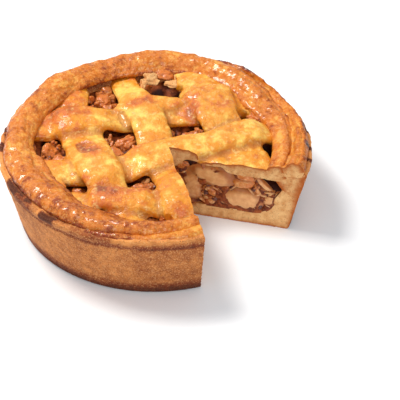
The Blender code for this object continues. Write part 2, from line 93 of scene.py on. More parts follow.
# Degrees round the pie, and millimetres by which the rim rose there.
CREST_LIFT = [(0, -1.0), (30, -2.8), (56, 1.6), (88, 2.2), (113, -0.6), (138, 2.4),
              (170, 0.4), (205, -0.6), (235, 0.8), (262, -1.2), (290, -2.0), (325, -1.6)]
# Degrees round the pie, and millimetres by which its edge moved outwards.
OUTLINE_SWELL = [(0, 0.8), (30, -1.4), (56, 1.0), (90, 0.2), (125, 0.6), (152, -2.6),
                 (182, -1.2), (225, -0.2), (270, 0.0), (300, 0.2), (340, 0.9)]


def direction(angle):
    """The flat unit vector at an angle in degrees from +X."""
    return Vector((math.cos(math.radians(angle)), math.sin(math.radians(angle)), 0))


CUT_CORNER = Vector((0.0116, -0.0130, 0))
LEFT_FACE = direction(-75)
RIGHT_FACE = direction(-14)
OUT_OF_LEFT = direction(15)
OUT_OF_RIGHT = direction(-104)

# %% [markdown]
# ## Small tools for many points
#
# Fine relief means tens of thousands of points, so the sums run on whole lists of points at
# once. `lumps` is the workhorse: soft noise with bumps of a chosen width. `seeds` gives the
# distance to scattered points, which makes pores and grains. `around` reads one of the
# tables above at every angle.

# %% Noise and tables


def smooth(share):
    """0 below 0, 1 above 1, and an even S between them."""
    share = np.clip(share, 0, 1)
    return share * share * (3 - 2 * share)


def lumps(points, size, seed):
    """Soft noise from -1 to 1 whose bumps are about size metres wide."""
    draw = np.random.default_rng(seed)
    turn, _ = np.linalg.qr(draw.normal(size=(3, 3)))
    table = draw.uniform(-1, 1, 32 ** 3)
    place = points @ turn / size + draw.uniform(0, 32, 3)
    cell = np.floor(place).astype(int)
    part = smooth(place - cell)
    total = np.zeros(len(points))
    for step in itertools.product((0, 1), repeat=3):
        share = np.prod(np.where(np.array(step, bool), part, 1 - part), axis=1)
        x, y, z = ((cell + step) % 32).T
        total += share * table[(x * 32 + y) * 32 + z]
    return total


def seeds(points, size, seed):
    """How far each point is from the nearest of scattered seeds, in shares of their spacing."""
    draw = np.random.default_rng(seed)
    table = draw.uniform(0, 1, (32 ** 3, 3))
    place = points / size
    cell = np.floor(place).astype(int)
    nearest = np.full(len(points), 9.0)
    for step in itertools.product((-1, 0, 1), repeat=3):
        other = cell + step
        x, y, z = (other % 32).T
        away = other + table[(x * 32 + y) * 32 + z] - place
        nearest = np.minimum(nearest, (away ** 2).sum(axis=1))
    return np.sqrt(nearest)


def around(angles, table):
    """The table's value at each angle in degrees, read smoothly round the circle."""
    starts = np.array([row[0] for row in table] + [table[0][0] + 360], float)
    values = np.array([row[1] for row in table] + [table[0][1]], float)
    angles = (angles - starts[0]) % 360 + starts[0]
    k = np.clip(np.searchsorted(starts, angles, side="right") - 1, 0, len(table) - 1)
    share = smooth((angles - starts[k]) / (starts[k + 1] - starts[k]))
    return values[k] + (values[k + 1] - values[k]) * share


def angles_of(points):
    """Degrees round the pie, from 0 to 360."""
    return np.degrees(np.arctan2(points[:, 1], points[:, 0])) % 360


def baked(points):
    """Moves the points of a neat rim to where the oven left them."""
    radius = np.hypot(points[:, 0], points[:, 1])
    risen = smooth((points[:, 2] - STILL_BELOW) / (WEAVE_LEVEL - STILL_BELOW))
    at_rim = smooth((radius - RIM_BEGINS) / (SHELF_RADIUS - RIM_BEGINS))
    lift = at_rim * around(angles_of(points), CREST_LIFT) / 1000
    swell = (radius / TOP_RADIUS) ** 3 * around(angles_of(points), OUTLINE_SWELL) / 1000
    scale = 1 + swell / np.maximum(radius, 0.001)
    return np.column_stack((points[:, :2] * scale[:, None], points[:, 2] + risen * lift))


# %% [markdown]
# ## Small tools for pieces
#
# Modelling by hand is a habit of a few moves: make one object active, add a modifier, apply
# it, look at the result. These helpers keep each of those moves to one line. `relief` moves
# every point along its normal, and `stands_out` measures how far a point lies above the
# smoothed surface around it, which tells a ridge from a crease.

# %% Select, apply, move points


def only(piece):
    """Makes one piece the selected and active one."""
    bpy.ops.object.select_all(action="DESELECT")
    piece.select_set(True)
    bpy.context.view_layer.objects.active = piece
    return piece


def apply(piece, kind, **settings):
    """Adds a modifier with its settings and applies it."""
    only(piece)
    modifier = piece.modifiers.new(kind.title(), kind)
    for name, value in settings.items():
        setattr(modifier, name, value)
    bpy.ops.object.modifier_apply(modifier=modifier.name)


def read(piece):
    """The piece's points as rows of x, y and z."""
    points = np.empty(len(piece.data.vertices) * 3, np.float32)
    piece.data.vertices.foreach_get("co", points)
    return points.reshape(-1, 3).astype(float)


def write(piece, points):
    """Puts the piece's points where the rows say."""
    piece.data.vertices.foreach_set("co", points.astype(np.float32).ravel())
    piece.data.update()


def outwards(piece):
    """The normal at each point."""
    normals = np.empty(len(piece.data.vertices) * 3, np.float32)
    piece.data.vertices.foreach_get("normal", normals)
    return normals.reshape(-1, 3).astype(float)


def relief(piece, height):
    """Moves each point along its normal by its height in metres."""
    write(piece, read(piece) + outwards(piece) * height[:, None])


def note(piece, name, values):
    """Keeps one number for each point, for a material to read."""
    attribute = piece.data.attributes.new(name, "FLOAT", "POINT")
    attribute.data.foreach_set("value", values.astype(np.float32))


def stands_out(piece, rounds):
    """How far each point lies outside the surface once smoothed, in metres."""
    points = read(piece)
    edges = np.empty(len(piece.data.edges) * 2, np.int32)
    piece.data.edges.foreach_get("vertices", edges)
    one, two = edges.reshape(-1, 2).T
    count = len(points)
    near = np.bincount(one, minlength=count) + np.bincount(two, minlength=count)
    soft = points.copy()
    for _ in range(rounds):
        summed = np.column_stack([np.bincount(one, soft[two, axis], count)
                                  + np.bincount(two, soft[one, axis], count) for axis in range(3)])
        soft = 0.4 * soft + 0.6 * summed / np.maximum(near, 1)[:, None]
    return ((points - soft) * outwards(piece)).sum(axis=1)


def shade(piece, angle=50):
    """Smooth shading that keeps the knife's edges crisp."""
    only(piece)
    bpy.ops.object.shade_smooth_by_angle(angle=math.radians(angle))


def made(name, points, faces):
    """A new object from points and faces."""
    mesh = bpy.data.meshes.new(name)
    mesh.from_pydata(points, [], faces)
    piece = bpy.data.objects.new(name, mesh)
    bpy.context.scene.collection.objects.link(piece)
    return piece


def tidy_normals(piece):
    """Merges double points and turns every face outwards."""
    only(piece)
    bpy.ops.object.mode_set(mode="EDIT")
    bpy.ops.mesh.select_all(action="SELECT")
    bpy.ops.mesh.remove_doubles(threshold=0.00001)
    bpy.ops.mesh.normals_make_consistent(inside=False)
    bpy.ops.mesh.select_all(action="DESELECT")
    bpy.ops.object.mode_set(mode="OBJECT")


# %% [markdown]
# ## Shader maths in plain sums
#
# A pattern is a sum of a few noises. `Wire` wraps a socket so that such a sum reads like
# one: each operator adds a Math node. `Finish` is one material being made. Its `node` adds
# any other node, and `blend` mixes two colours. `tone` turns the 0 to 255 colours of a
# picture into the linear ones that a shader wants.

# %% Materials


def tone(red, green, blue):
    """A picture's colour as a linear one."""
    return tuple(((value / 255 + 0.055) / 1.055) ** 2.4 for value in (red, green, blue)) + (1.0,)


class Wire:
    """A socket that can be added, multiplied and so on."""

    def __init__(self, finish, socket):
        self.finish = finish
        self.socket = socket

    def with_other(self, operation, first, second):
        return self.finish.node("ShaderNodeMath", {"operation": operation}, {0: first, 1: second})[0]

    def __add__(self, other):
        return self.with_other("ADD", self, other)

    def __sub__(self, other):
        return self.with_other("SUBTRACT", self, other)

    def __rsub__(self, other):
        return self.with_other("SUBTRACT", other, self)

    def __mul__(self, other):
        return self.with_other("MULTIPLY", self, other)

    __radd__ = __add__
    __rmul__ = __mul__

    def between(self, low, high):
        """0 at low, 1 at high, and an even S between them."""
        return self.finish.node("ShaderNodeMapRange", {"interpolation_type": "SMOOTHSTEP"},
                                {"Value": self, "From Min": low, "From Max": high})[0]


class Finish:
    """A material in the making."""

    def __init__(self, name, **fixed):
        self.material = bpy.data.materials.new(name)
        self.material.use_nodes = True
        self.tree = self.material.node_tree
        self.shader = self.tree.nodes["Principled BSDF"]
        for socket, value in fixed.items():
            self.shader.inputs[socket.replace("_", " ")].default_value = value
        self.place = self.node("ShaderNodeTexCoord", {}, {})[3]

    def node(self, kind, settings, inputs):
        """Adds a node and returns its outputs, numbered."""
        node = self.tree.nodes.new(kind)
        for name, value in settings.items():
            setattr(node, name, value)
        for key, value in inputs.items():
            if isinstance(value, Wire):
                self.tree.links.new(value.socket, node.inputs[key])
            else:
                node.inputs[key].default_value = value
        return [Wire(self, socket) for socket in node.outputs]

    def noise(self, size, detail=3.0, rough=0.55, stretch=(1, 1, 1)):
        """Soft noise from 0 to 1 with features of about size metres."""
        place = self.node("ShaderNodeMapping", {}, {"Vector": self.place, "Scale": stretch})[0]
        return self.node("ShaderNodeTexNoise", {}, {"Vector": place, "Scale": 1 / size,
                                                    "Detail": detail, "Roughness": rough})[0]

    def grains(self, size):
        """Distance to scattered points about size metres apart, from 0 to 1."""
        return self.node("ShaderNodeTexVoronoi", {}, {"Vector": self.place, "Scale": 1 / size})[0]

    def noted(self, name):
        """A number that the mesh keeps for each point."""
        return self.node("ShaderNodeAttribute", {"attribute_name": name}, {})[2]

    def blend(self, share, first, second):
        """The first colour where the share is 0, the second where it is 1."""
        return self.node("ShaderNodeMix", {"data_type": "RGBA"}, {0: share, 6: first, 7: second})[2]

    def feed(self, **links):
        """Links wires to the shader's sockets."""
        for socket, wire in links.items():
            self.tree.links.new(wire.socket, self.shader.inputs[socket.replace("_", " ")])

    def bump(self, height, strength, distance):
        """Fine relief from a height between 0 and 1. Distance is in metres."""
        self.feed(Normal=self.node("ShaderNodeBump", {}, {"Height": height, "Strength": strength,
                                                          "Distance": distance})[0])


# %% [markdown]
# ## The baked outside of the case
#
# Sandy shortcrust has no shine. Its colour is a tan that goes brown along the foot, where
# it lay against the tin, and along the lip. Grains of sugar and flour leave pale and dark
# specks of about a millimetre. The mesh keeps one number for each point, for the heat and
# for painted shade, because both follow the form of the case and not the noise. The painted
# shade darkens the foot, the line under the lip, the side towards the cut and the crevice at
# the front left of the lip.

# %% Crust finish
crust = Finish("sandy crust", Roughness=0.74, Specular_IOR_Level=0.3)
crust_mottle = crust.noise(0.006, detail=4.0)
crust_grain = crust.noise(0.0010, detail=2.0)
crust_specks = crust.grains(0.0021)
# The noted number holds the heat of the case and painted shade together.
crust_browned_and_shade = crust.noted("browned_and_shade") + (crust_mottle - 0.5) * 0.9
crust_colour = crust.blend(crust_browned_and_shade.between(-0.1, 0.8), tone(224, 144, 72), tone(130, 54, 14))
crust_colour = crust.blend(crust_browned_and_shade.between(0.65, 1.3), crust_colour, tone(80, 32, 10))
crust_sugar = crust_grain.between(0.48, 0.66) * (0.55 - crust_browned_and_shade.between(0.6, 1.1) * 0.45)
crust_colour = crust.blend(crust_sugar, crust_colour, tone(222, 164, 104))
crust_colour = crust.blend((1 - crust_specks.between(0.12, 0.32)) * 0.6, crust_colour, tone(96, 42, 16))
crust.feed(Base_Color=crust_colour)
crust.bump(crust_grain + crust_mottle * 0.8, 0.6, 0.0008)

# %% [markdown]
# ## The crumb that the knife laid open
#
# Inside, the dough is pale and porous. It gets darker within a few millimetres of the
# outside, and the number `skin` says how near a point is to it. The pores are real dents in
# the mesh, so the material paints only a little shade into them, and adds finer pores as
# dark spots of painted shade.

# %% Crumb finish
crumb = Finish("pale crumb", Roughness=0.86, Specular_IOR_Level=0.3)
crumb_mottle = crumb.noise(0.005, detail=5.0, rough=0.6)
crumb_pores = crumb.grains(0.0017)
crumb_edge = crumb.noted("skin") + (crumb_mottle - 0.5) * 0.7
crumb_colour = crumb.blend(crumb_mottle.between(0.3, 0.75), tone(238, 190, 128), tone(212, 148, 86))
crumb_colour = crumb.blend(crumb_edge.between(0.05, 1.1), crumb_colour, tone(176, 90, 32))
# Painted shade in the pores: dark spots where the crumb has small holes.
crumb_colour = crumb.blend((1 - crumb_pores.between(0.10, 0.30)) * 0.55, crumb_colour, tone(138, 82, 40))
crumb.feed(Base_Color=crumb_colour)
crumb.bump(crumb_mottle + crumb_pores.between(0.05, 0.4) * 0.7, 0.6, 0.0006)

# %% [markdown]
# ## The knife
#
# The slice was cut out of the baked pie, so the same tool cuts every layer here. It is a
# wedge of two upright sheets that meet at the corner of the cut. Each sheet carries a fine
# relief, so that the knife leaves pores and small tears behind. It is made in mesh code,
# because a primitive would have to be folded at the corner and closed at the back.

# %% Make the knife
KNIFE_STEP = 0.0009
KNIFE_REACH = 0.150
KNIFE_LOW = -0.006
KNIFE_HIGH = 0.080


def knife(name, height, finish):
    """A wedge over the missing slice. Height gives its relief, in metres into the pie."""
    count = round(KNIFE_REACH / KNIFE_STEP)
    rows = round((KNIFE_HIGH - KNIFE_LOW) / KNIFE_STEP)
    path = [CUT_CORNER + LEFT_FACE * KNIFE_STEP * k for k in range(count, 0, -1)]
    into = [-OUT_OF_LEFT] * count
    path += [CUT_CORNER] + [CUT_CORNER + RIGHT_FACE * KNIFE_STEP * k for k in range(1, count + 1)]
    into += [-(OUT_OF_LEFT + OUT_OF_RIGHT).normalized()] + [-OUT_OF_RIGHT] * count
    flat = np.array([[*point.xy, KNIFE_LOW + KNIFE_STEP * row]
                     for row in range(rows + 1) for point in path])
    pushed = np.array([list(way) for way in into] * (rows + 1))
    wide = len(path)
    faces = [(row * wide + k, row * wide + k + 1, (row + 1) * wide + k + 1, (row + 1) * wide + k)
             for row in range(rows) for k in range(wide - 1)]
    faces += [((row + 1) * wide, row * wide, row * wide + wide - 1, (row + 1) * wide + wide - 1)
              for row in range(rows)]
    faces += [tuple(range(wide)), tuple(range(rows * wide, (rows + 1) * wide))]
    blade = made(name, (flat + pushed * height(flat)[:, None]).tolist(), faces)
    blade.data.materials.append(finish.material)
    tidy_normals(blade)
    blade.hide_render = True
    blade.display_type = "WIRE"
    return blade


def crumb_relief(points):
    """Pores and small tears, up to 0.7 mm into the dough."""
    pores = 1 - smooth((seeds(points, 0.0034, 5) - 0.10) / 0.30)
    tears = 0.00022 * lumps(points, 0.007, 6) + 0.00012 * lumps(points, 0.0021, 7)
    return 0.00022 + tears + 0.00055 * pores


crumb_knife = knife("crumb_knife", crumb_relief, crumb)
print("knife:", len(crumb_knife.data.polygons), "faces")

# %% [markdown]
# ### Cut, and remember the outside
#
# The case, the rim and the strips are cut by the same knife, so their cut faces would lie in
# one plane where they overlap, and would flicker there. So the knife goes a hair deeper into
# some of them. Before the cut the whole outside is kept as a search tree, and after it each
# point near the knife asks how far away that outside is.

# %% Cut and note the skin
NEAR_KNIFE = 0.002
FAR_AWAY = 1.0


def slice_out(piece, blade):
    """Cuts the slice out and keeps the blade's finish on the cut faces."""
    apply(piece, "BOOLEAN", operation="DIFFERENCE", solver="MANIFOLD", material_mode="TRANSFER",
          object=blade)


def depth_in_pie(points):
    """How far each point lies behind the nearer cut face, in metres. It is negative in the gap."""
    from_corner = points - np.array(CUT_CORNER)
    return -np.minimum(from_corner @ np.array(OUT_OF_LEFT), from_corner @ np.array(OUT_OF_RIGHT))


def faces_out(spot, normal):
    """The outer wall and the underside of the case."""
    return normal.dot(spot) > 0.3 * spot.length or normal.z < -0.5


def faces_up(spot, normal):
    """The top and the flanks of a strip or a roll."""
    return normal.z > -0.1


def cut_open(piece, blade, crust_depth, is_baked, deeper):
    """Cuts the slice out, a little deeper if told, and notes as skin how near the outside is."""
    both = OUT_OF_LEFT + OUT_OF_RIGHT
    blade.location = -both * deeper / (1 + OUT_OF_LEFT.dot(OUT_OF_RIGHT))
    bpy.context.view_layer.update()
    whole = bmesh.new()
    whole.from_mesh(piece.data)
    outside = BVHTree.FromBMesh(whole)
    whole.free()
    slice_out(piece, blade)
    points = read(piece)
    away = np.full(len(points), FAR_AWAY)
    for k in np.flatnonzero(depth_in_pie(points) < NEAR_KNIFE):
        spot, normal, _, distance = outside.find_nearest(Vector(points[k]))
        if is_baked(spot, normal):
            away[k] = distance
    drier = 0.32 * smooth((points[:, 2] - 0.012) / 0.030)
    note(piece, "skin", np.exp(-away / crust_depth) + drier)


# %% [markdown]
# ## The case
#
# The case is pressed into a round tin, so it is a turned shape: one outline, spun round the
# axis. The outline is resampled to about a millimetre where it shows, and the points then
# get the oven's unevenness, the grain of the dough, and a rougher, crumbly lip. The seam
# between the lip and the rolls closed in the oven, so the shelf is raised into the rolls.

# %% Outline of the case
CASE_STATIONS = 520
SEAM_CLOSED = 0.0030
WALL_TOP = 0.0525
FLARE_HEIGHT = 0.0370
FLOOR_ROUND = 0.016
FOOT_ROUND = 0.0025
FINE_STEP = 0.0011
COARSE_STEP = 0.0014


def wall_radius(height):
    """The outside widens evenly from the base to the ledge."""
    return BASE_RADIUS + (TOP_RADIUS - BASE_RADIUS) * np.minimum(height / LEDGE_HEIGHT, 1.0)


def arc(radius, height, size, start, end, steps):
    """Points of an arc round a centre, from a start to an end angle."""
    turns = [math.radians(start + (end - start) * step / steps) for step in range(steps + 1)]
    return [(radius + size * math.cos(turn), height + size * math.sin(turn)) for turn in turns]


def resampled(outline, step):
    """The outline with extra points, so that no stretch is longer than step."""
    fine = [outline[0]]
    for (near, low), (far, high) in zip(outline, outline[1:]):
        parts = max(math.ceil(math.hypot(far - near, high - low) / step), 1)
        fine += [(near + (far - near) * k / parts, low + (high - low) * k / parts)
                 for k in range(1, parts + 1)]
    return fine


def hollow_outline(clearance):
    """The hollow of the case, from the middle of its floor to just under the shelf."""
    floor = BASE_THICKNESS + clearance
    foot = float(wall_radius(floor)) - WALL_THICKNESS - clearance
    corner = arc(foot - FLOOR_ROUND, floor + FLOOR_ROUND, FLOOR_ROUND, -90, 0, 5)
    flare = (float(wall_radius(FLARE_HEIGHT)) - WALL_THICKNESS - clearance, FLARE_HEIGHT)
    return [(0.0, floor), (0.045, floor)] + corner + [flare, (SHELF_RADIUS - clearance, FILLING_HEIGHT)]


def spun(name, outline, stations):
    """Spins radius and height points that start and end on the axis."""
    piece = made(name, [(radius, 0, height) for radius, height in outline], [])
    piece.data.edges.add(len(outline) - 1)
    piece.data.edges.foreach_set("vertices", [k + side for k in range(len(outline) - 1) for side in (0, 1)])
    only(piece)
    bpy.ops.object.mode_set(mode="EDIT")
    bpy.ops.mesh.select_all(action="SELECT")
    bpy.ops.mesh.spin(steps=stations, angle=math.tau, use_auto_merge=True, center=(0, 0, 0), axis=(0, 0, 1))
    bpy.ops.object.mode_set(mode="OBJECT")
    tidy_normals(piece)
    return piece


underside = [(0.0, 0.0), (0.05, 0.0), (0.09, 0.0)]
foot_round = arc(BASE_RADIUS - FOOT_ROUND, FOOT_ROUND, FOOT_ROUND, -90, -5, 5)
outside = resampled([foot_round[-1], (float(wall_radius(WALL_TOP)), WALL_TOP)], FINE_STEP)
lip_round = arc(TOP_RADIUS - 0.0017, LIP_HEIGHT - 0.0019, 0.0018, 0, 150, 7)
seam_radius = LEDGE_RADIUS - SEAM_CLOSED
seam_height = LEDGE_HEIGHT + SEAM_CLOSED
inside_lip = resampled([(LIP_RADIUS + 0.0004, LIP_HEIGHT - 0.0008), (LIP_RADIUS - 0.0010, seam_height),
                        (seam_radius, seam_height)], COARSE_STEP)
shelf = [(seam_radius - 0.0020, SHELF_HEIGHT + 0.0045), (SHELF_RADIUS + 0.0020, SHELF_HEIGHT + 0.0035)]
case_outline = (underside + foot_round + outside[1:] + lip_round + inside_lip + shelf
                + hollow_outline(0.0)[::-1])
pie_crust = spun("pie_crust", case_outline, CASE_STATIONS)
print("outline of the case:", len(case_outline), "points")

# %% [markdown]
# ### Roughen, cut and brown the case
#
# The relief is a sum of noises: broad swells, grain, and upright drag marks where the dough
# slid up the tin. A tuck runs round just under the lip, and the lip itself crumbled. The
# case is cut only now, so that the cut face shows the same wavy outline. Where the edge
# touched the hot tin it burnt in short stretches, which a list gives.

# %% Relief and heat of the case
# Burnt stretches of the outer edge: degrees, and half width in degrees.
BURNT = [(207, 5), (219, 3), (230, 4), (183, 5), (170, 5), (157, 4), (128, 7), (139, 4), (146, 2),
         (112, 2), (66, 4), (52, 5), (38, 3), (24, 3), (8, 2), (357, 2), (350, 2)]
BURNT_OUTSIDE = 0.1135
BURNT_ABOVE = 0.0520
TUCK_HEIGHT = 0.0512
FRONT_RISE = 0.0036
HAIR = 0.00002


def within_frame(piece):
    """Keeps every point inside the box of the solids."""
    low, high = (np.array(corner) for corner in cad_box)
    write(piece, np.clip(read(piece), low + HAIR, high - HAIR))


def burnt(points):
    """1 where the outer edge of the rim is burnt, 0 elsewhere."""
    angle = angles_of(points)
    radius = np.hypot(points[:, 0], points[:, 1])
    share = sum(np.exp(-(((angle - middle + 180) % 360 - 180) / half) ** 2) for middle, half in BURNT)
    ragged = 0.45 * lumps(points, 0.0045, 19) + 0.5 * lumps(points, 0.0100, 20)
    at_edge = smooth((radius - BURNT_OUTSIDE) / 0.003) * smooth((points[:, 2] - BURNT_ABOVE) / 0.0030)
    return smooth((share - 0.45 + ragged) / 0.35) * at_edge


points = read(pie_crust)
radius = np.hypot(points[:, 0], points[:, 1])
height = points[:, 2]
angle = angles_of(points)
on_wall = smooth((radius - wall_radius(height) + 0.004) / 0.003) * smooth((height - 0.0006) / 0.003)
on_lip = smooth((height - 0.0538) / 0.0012) * smooth((radius - 0.112) / 0.003)
grain_height = (0.00030 * lumps(points, 0.0085, 11) + 0.00022 * lumps(points, 0.0034, 12)
                + 0.00020 * lumps(points, 0.0017, 13) - 0.00025)
drag = 0.00012 * lumps(points * np.array([1, 1, 0.12]), 0.0022, 14)
crumbly = 0.0008 * lumps(points, 0.0062, 15) + 0.0006 * lumps(points, 0.0029, 16)
tuck = np.exp(-((height - TUCK_HEIGHT - 0.0007 * lumps(points, 0.012, 18)) / 0.0011) ** 2)
move = on_wall * (grain_height + drag - 0.0007 * tuck) + on_lip * crumbly
points = points + outwards(pie_crust) * move[:, None]
points[:, 2] += on_lip * FRONT_RISE * smooth((angle - 238) / 34) * smooth((330 - angle) / 20)
write(pie_crust, baked(points))
cut_open(pie_crust, crumb_knife, 0.0034, faces_out, 0.00016)
points = read(pie_crust)
height = points[:, 2]
angle = angles_of(points)
# Darker towards the foot: partly browned against the tin, partly painted shade.
at_foot = 1 - smooth((height - 0.0005) / 0.014)
# A dark line under the lip: partly browned, partly painted shadow of the lip.
under_lip = np.exp(-((height - TUCK_HEIGHT - 0.0009 * lumps(points, 0.010, 18)) / 0.0015) ** 2)
on_lip = smooth((height - 0.0535) / 0.002)
# Painted shade: the wall is darker on the side towards the cut, away from the light.
shade_to_the_cut = np.exp(-((angle - 283) / 34) ** 2)
front_left = smooth((angle - 200) / 12) * smooth((262 - angle) / 14)
# The front left of the lip is darker: partly browned, partly painted shade in the crevice between the roll
# and the lip. Elsewhere the lip is made lighter.
lip_heat_and_shade = on_lip * (front_left * (0.50 + 0.5 * lumps(points, 0.012, 24)) - 0.30)
note(pie_crust, "browned_and_shade", 0.26 + 0.84 * at_foot + 0.55 * under_lip + lip_heat_and_shade + 0.20 * shade_to_the_cut
     + 0.20 * lumps(points, 0.030, 17) + 1.1 * burnt(points))
within_frame(pie_crust)
print("case:", len(pie_crust.data.polygons), "faces,", [slot.name for slot in pie_crust.material_slots])

# %% [markdown]
# ## Dough shaped from its solid
#
# The rolls and strips are soft dough, and their solids have the right run but flat facets.
# A copy is pulled past the knife at its cut ends, remeshed into small even squares, and
# smoothed, which rounds it the way dough rounds in the oven. After that it takes any relief.
#
# Pieces that baked into one another are joined, and their joint skin is swollen, remeshed
# and shrunk again by as much. That closes the narrow clefts and leaves the wide openings.

# %% A soft copy of solids
PULL = 0.006
CLOSED_BY = 0.0018


def pull_past_knife(piece, reach):
    """Extrudes the cut ends into the gap, so that only dough beyond the knife gets rounded."""
    bpy.context.tool_settings.mesh_select_mode = (False, False, True)
    for out in (OUT_OF_LEFT, OUT_OF_RIGHT):
        only(piece)
        for face in piece.data.polygons:
            face.select = face.normal.dot(out) > 0.999 and abs((face.center - CUT_CORNER).dot(out)) < 0.0001
        if any(face.select for face in piece.data.polygons):
            bpy.ops.object.mode_set(mode="EDIT")
            bpy.ops.mesh.extrude_region_move(TRANSFORM_OT_translate={"value": out * reach})
            bpy.ops.object.mode_set(mode="OBJECT")


def dough_from(name, nodes, voxel, rounds, swell, extra=()):
    """One soft closed mesh with the form of some of the frame's solids, and extra pieces."""
    copies = list(extra)
    for node in nodes:
        copy = bpy.data.objects.new(name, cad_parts[node].data.copy())
        copy.data.materials.clear()
        bpy.context.scene.collection.objects.link(copy)
        tidy_normals(copy)
        pull_past_knife(copy, PULL)
        apply(copy, "REMESH", mode="VOXEL", voxel_size=voxel)
        apply(copy, "SMOOTH", factor=0.5, iterations=rounds)
        apply(copy, "DISPLACE", strength=swell, mid_level=0.0)
        copies.append(copy)
    piece = copies[0]
    if len(copies) > 1:
        bpy.ops.object.select_all(action="DESELECT")
        for copy in copies:
            copy.select_set(True)
        bpy.context.view_layer.objects.active = piece
        bpy.ops.object.join()
        apply(piece, "REMESH", mode="VOXEL", voxel_size=voxel)
        apply(piece, "SMOOTH", factor=0.5, iterations=rounds // 4)
        apply(piece, "DISPLACE", strength=CLOSED_BY, mid_level=0.0)
        apply(piece, "REMESH", mode="VOXEL", voxel_size=voxel)
        apply(piece, "SMOOTH", factor=0.5, iterations=rounds // 2)
        apply(piece, "DISPLACE", strength=-CLOSED_BY, mid_level=0.0)
    piece.name = name
    return piece


# %% [markdown]
# ## The glaze
#
# Brushed with egg, dough turns golden and shines. Where it stands up it browns towards
# orange, and in the creases it stays matte and is painted darker: partly dark juice, partly
# painted shade. The rim gets the most heat. `raised` is positive on ridges and negative in
# creases. A second number holds the heat, and with it painted shade in the crevice at the
# front of the rim and under the strips. `shine` says where the egg lies thick. The coat comes
# and goes with the fine streaks, because a brush leaves no even film.

# %% Glazed rim finish
rim = Finish("glazed rim", Roughness=0.36, Coat_Roughness=0.09, Specular_IOR_Level=0.30)
rim_mottle = rim.noise(0.009, detail=5.0, rough=0.62)
rim_streak = rim.noise(0.0030, detail=4.0, rough=0.6)
rim_grain = rim.noise(0.0011, detail=2.0)
rim_specks = rim.grains(0.0026)
# The noted heat also carries painted shade in the crevice at the front.
rim_heat_and_shade = rim.noted("browned_and_shade") + (rim_mottle - 0.5) * 1.9 + (rim_streak - 0.5) * 1.0
rim_colour = rim.blend(rim_heat_and_shade.between(0.0, 0.5), tone(234, 162, 64), tone(206, 112, 22))
rim_colour = rim.blend(rim_heat_and_shade.between(0.5, 1.05), rim_colour, tone(140, 54, 10))
# Creases are painted darker: partly dark juice, partly painted shade.
rim_colour = rim.blend((1 - rim.noted("raised").between(-1.8, 0.0)) * 0.85, rim_colour, tone(128, 54, 16))
rim_colour = rim.blend(rim_grain.between(0.54, 0.72) * 0.45, rim_colour, tone(246, 196, 112))
rim_colour = rim.blend((1 - rim_specks.between(0.06, 0.2)) * 0.5, rim_colour, tone(110, 46, 14))
rim_colour = rim.blend(rim_heat_and_shade.between(1.3, 1.9), rim_colour, tone(70, 30, 12))
rim.feed(Base_Color=rim_colour, Roughness=0.28 + rim_streak.between(0.35, 0.65) * 0.34,
         Coat_Weight=(1 - rim_streak.between(0.40, 0.60)) * rim.noted("shine") * 0.75)
rim.bump(rim_grain * 0.5 + rim_streak + rim_mottle, 0.80, 0.0014)

# %% Golden lattice finish
gold = Finish("golden lattice", Roughness=0.34, Coat_Roughness=0.10, Specular_IOR_Level=0.40)
gold_mottle = gold.noise(0.010, detail=4.0, rough=0.58)
gold_streak = gold.noise(0.0038, detail=4.0, rough=0.6)
gold_grain = gold.noise(0.0010, detail=2.0)
# The noted heat also carries painted shade on the undersides of the strips.
gold_heat_and_shade = gold.noted("browned_and_shade") + (gold_mottle - 0.5) * 2.1 + (gold_streak - 0.5) * 0.8
gold_specks = gold.grains(0.0030)
gold_colour = gold.blend(gold_heat_and_shade.between(-0.25, 0.40), tone(252, 208, 98), tone(228, 142, 20))
gold_colour = gold.blend(gold_heat_and_shade.between(0.40, 0.85), gold_colour, tone(206, 102, 14))
gold_colour = gold.blend(gold_heat_and_shade.between(0.8, 1.35), gold_colour, tone(142, 60, 14))
# Creases are painted darker: partly juice, partly painted shade.
gold_colour = gold.blend((1 - gold.noted("raised").between(-0.9, 0.1)) * 0.7, gold_colour, tone(180, 98, 30))
gold_colour = gold.blend(gold_streak.between(0.52, 0.70) * 0.50, gold_colour, tone(252, 218, 140))
gold_colour = gold.blend((1 - gold_specks.between(0.06, 0.22)) * 0.35, gold_colour, tone(176, 96, 30))
gold_shine = gold.noted("shine")
gold.feed(Base_Color=gold_colour,
          Roughness=0.32 + gold_streak.between(0.32, 0.66) * 0.28 - gold_shine * 0.20,
          Coat_Weight=(1 - gold_streak.between(0.42, 0.62)) * (0.45 + gold_shine * 0.5))
gold.bump(gold_grain * 0.6 + gold_streak, 0.75, 0.0016)

# %% [markdown]
# ## The rim
#
# A long roll of dough goes round the left and the back, a lower one lies outside it on the
# right, and a paler tongue is folded over at the front. Grooves follow the right side, where
# the dough was folded twice, and short nicks cross the roll where it cracked in the oven.

# %% Cracks
# Nicks across the dough: two ends in tenths of TOP_RADIUS, and a depth in millimetres.
NICKS = [((-7.1, 5.4), (-6.7, 4.6), 1.1), ((-4.5, -7.1), (-4.2, -7.9), 1.3),
         ((-4.3, -7.6), (-3.7, -7.5), 0.9), ((2.8, 9.3), (3.6, 9.0), 1.0), ((3.4, 8.9), (4.6, 8.2), 1.0),
         ((5.5, 8.0), (6.3, 7.0), 1.0), ((-1.2, 9.4), (-0.2, 9.8), 0.8),
         ((-8.7, -1.2), (-8.1, -2.0), 0.9), ((7.6, 5.2), (8.4, 4.5), 0.8),
         ((-6.8, -5.2), (-6.0, -6.2), 0.8), ((0.3, 9.3), (1.4, 9.1), 0.8), ((8.9, 2.6), (9.2, 1.2), 0.9)]
NICK_WIDTH = 0.0008


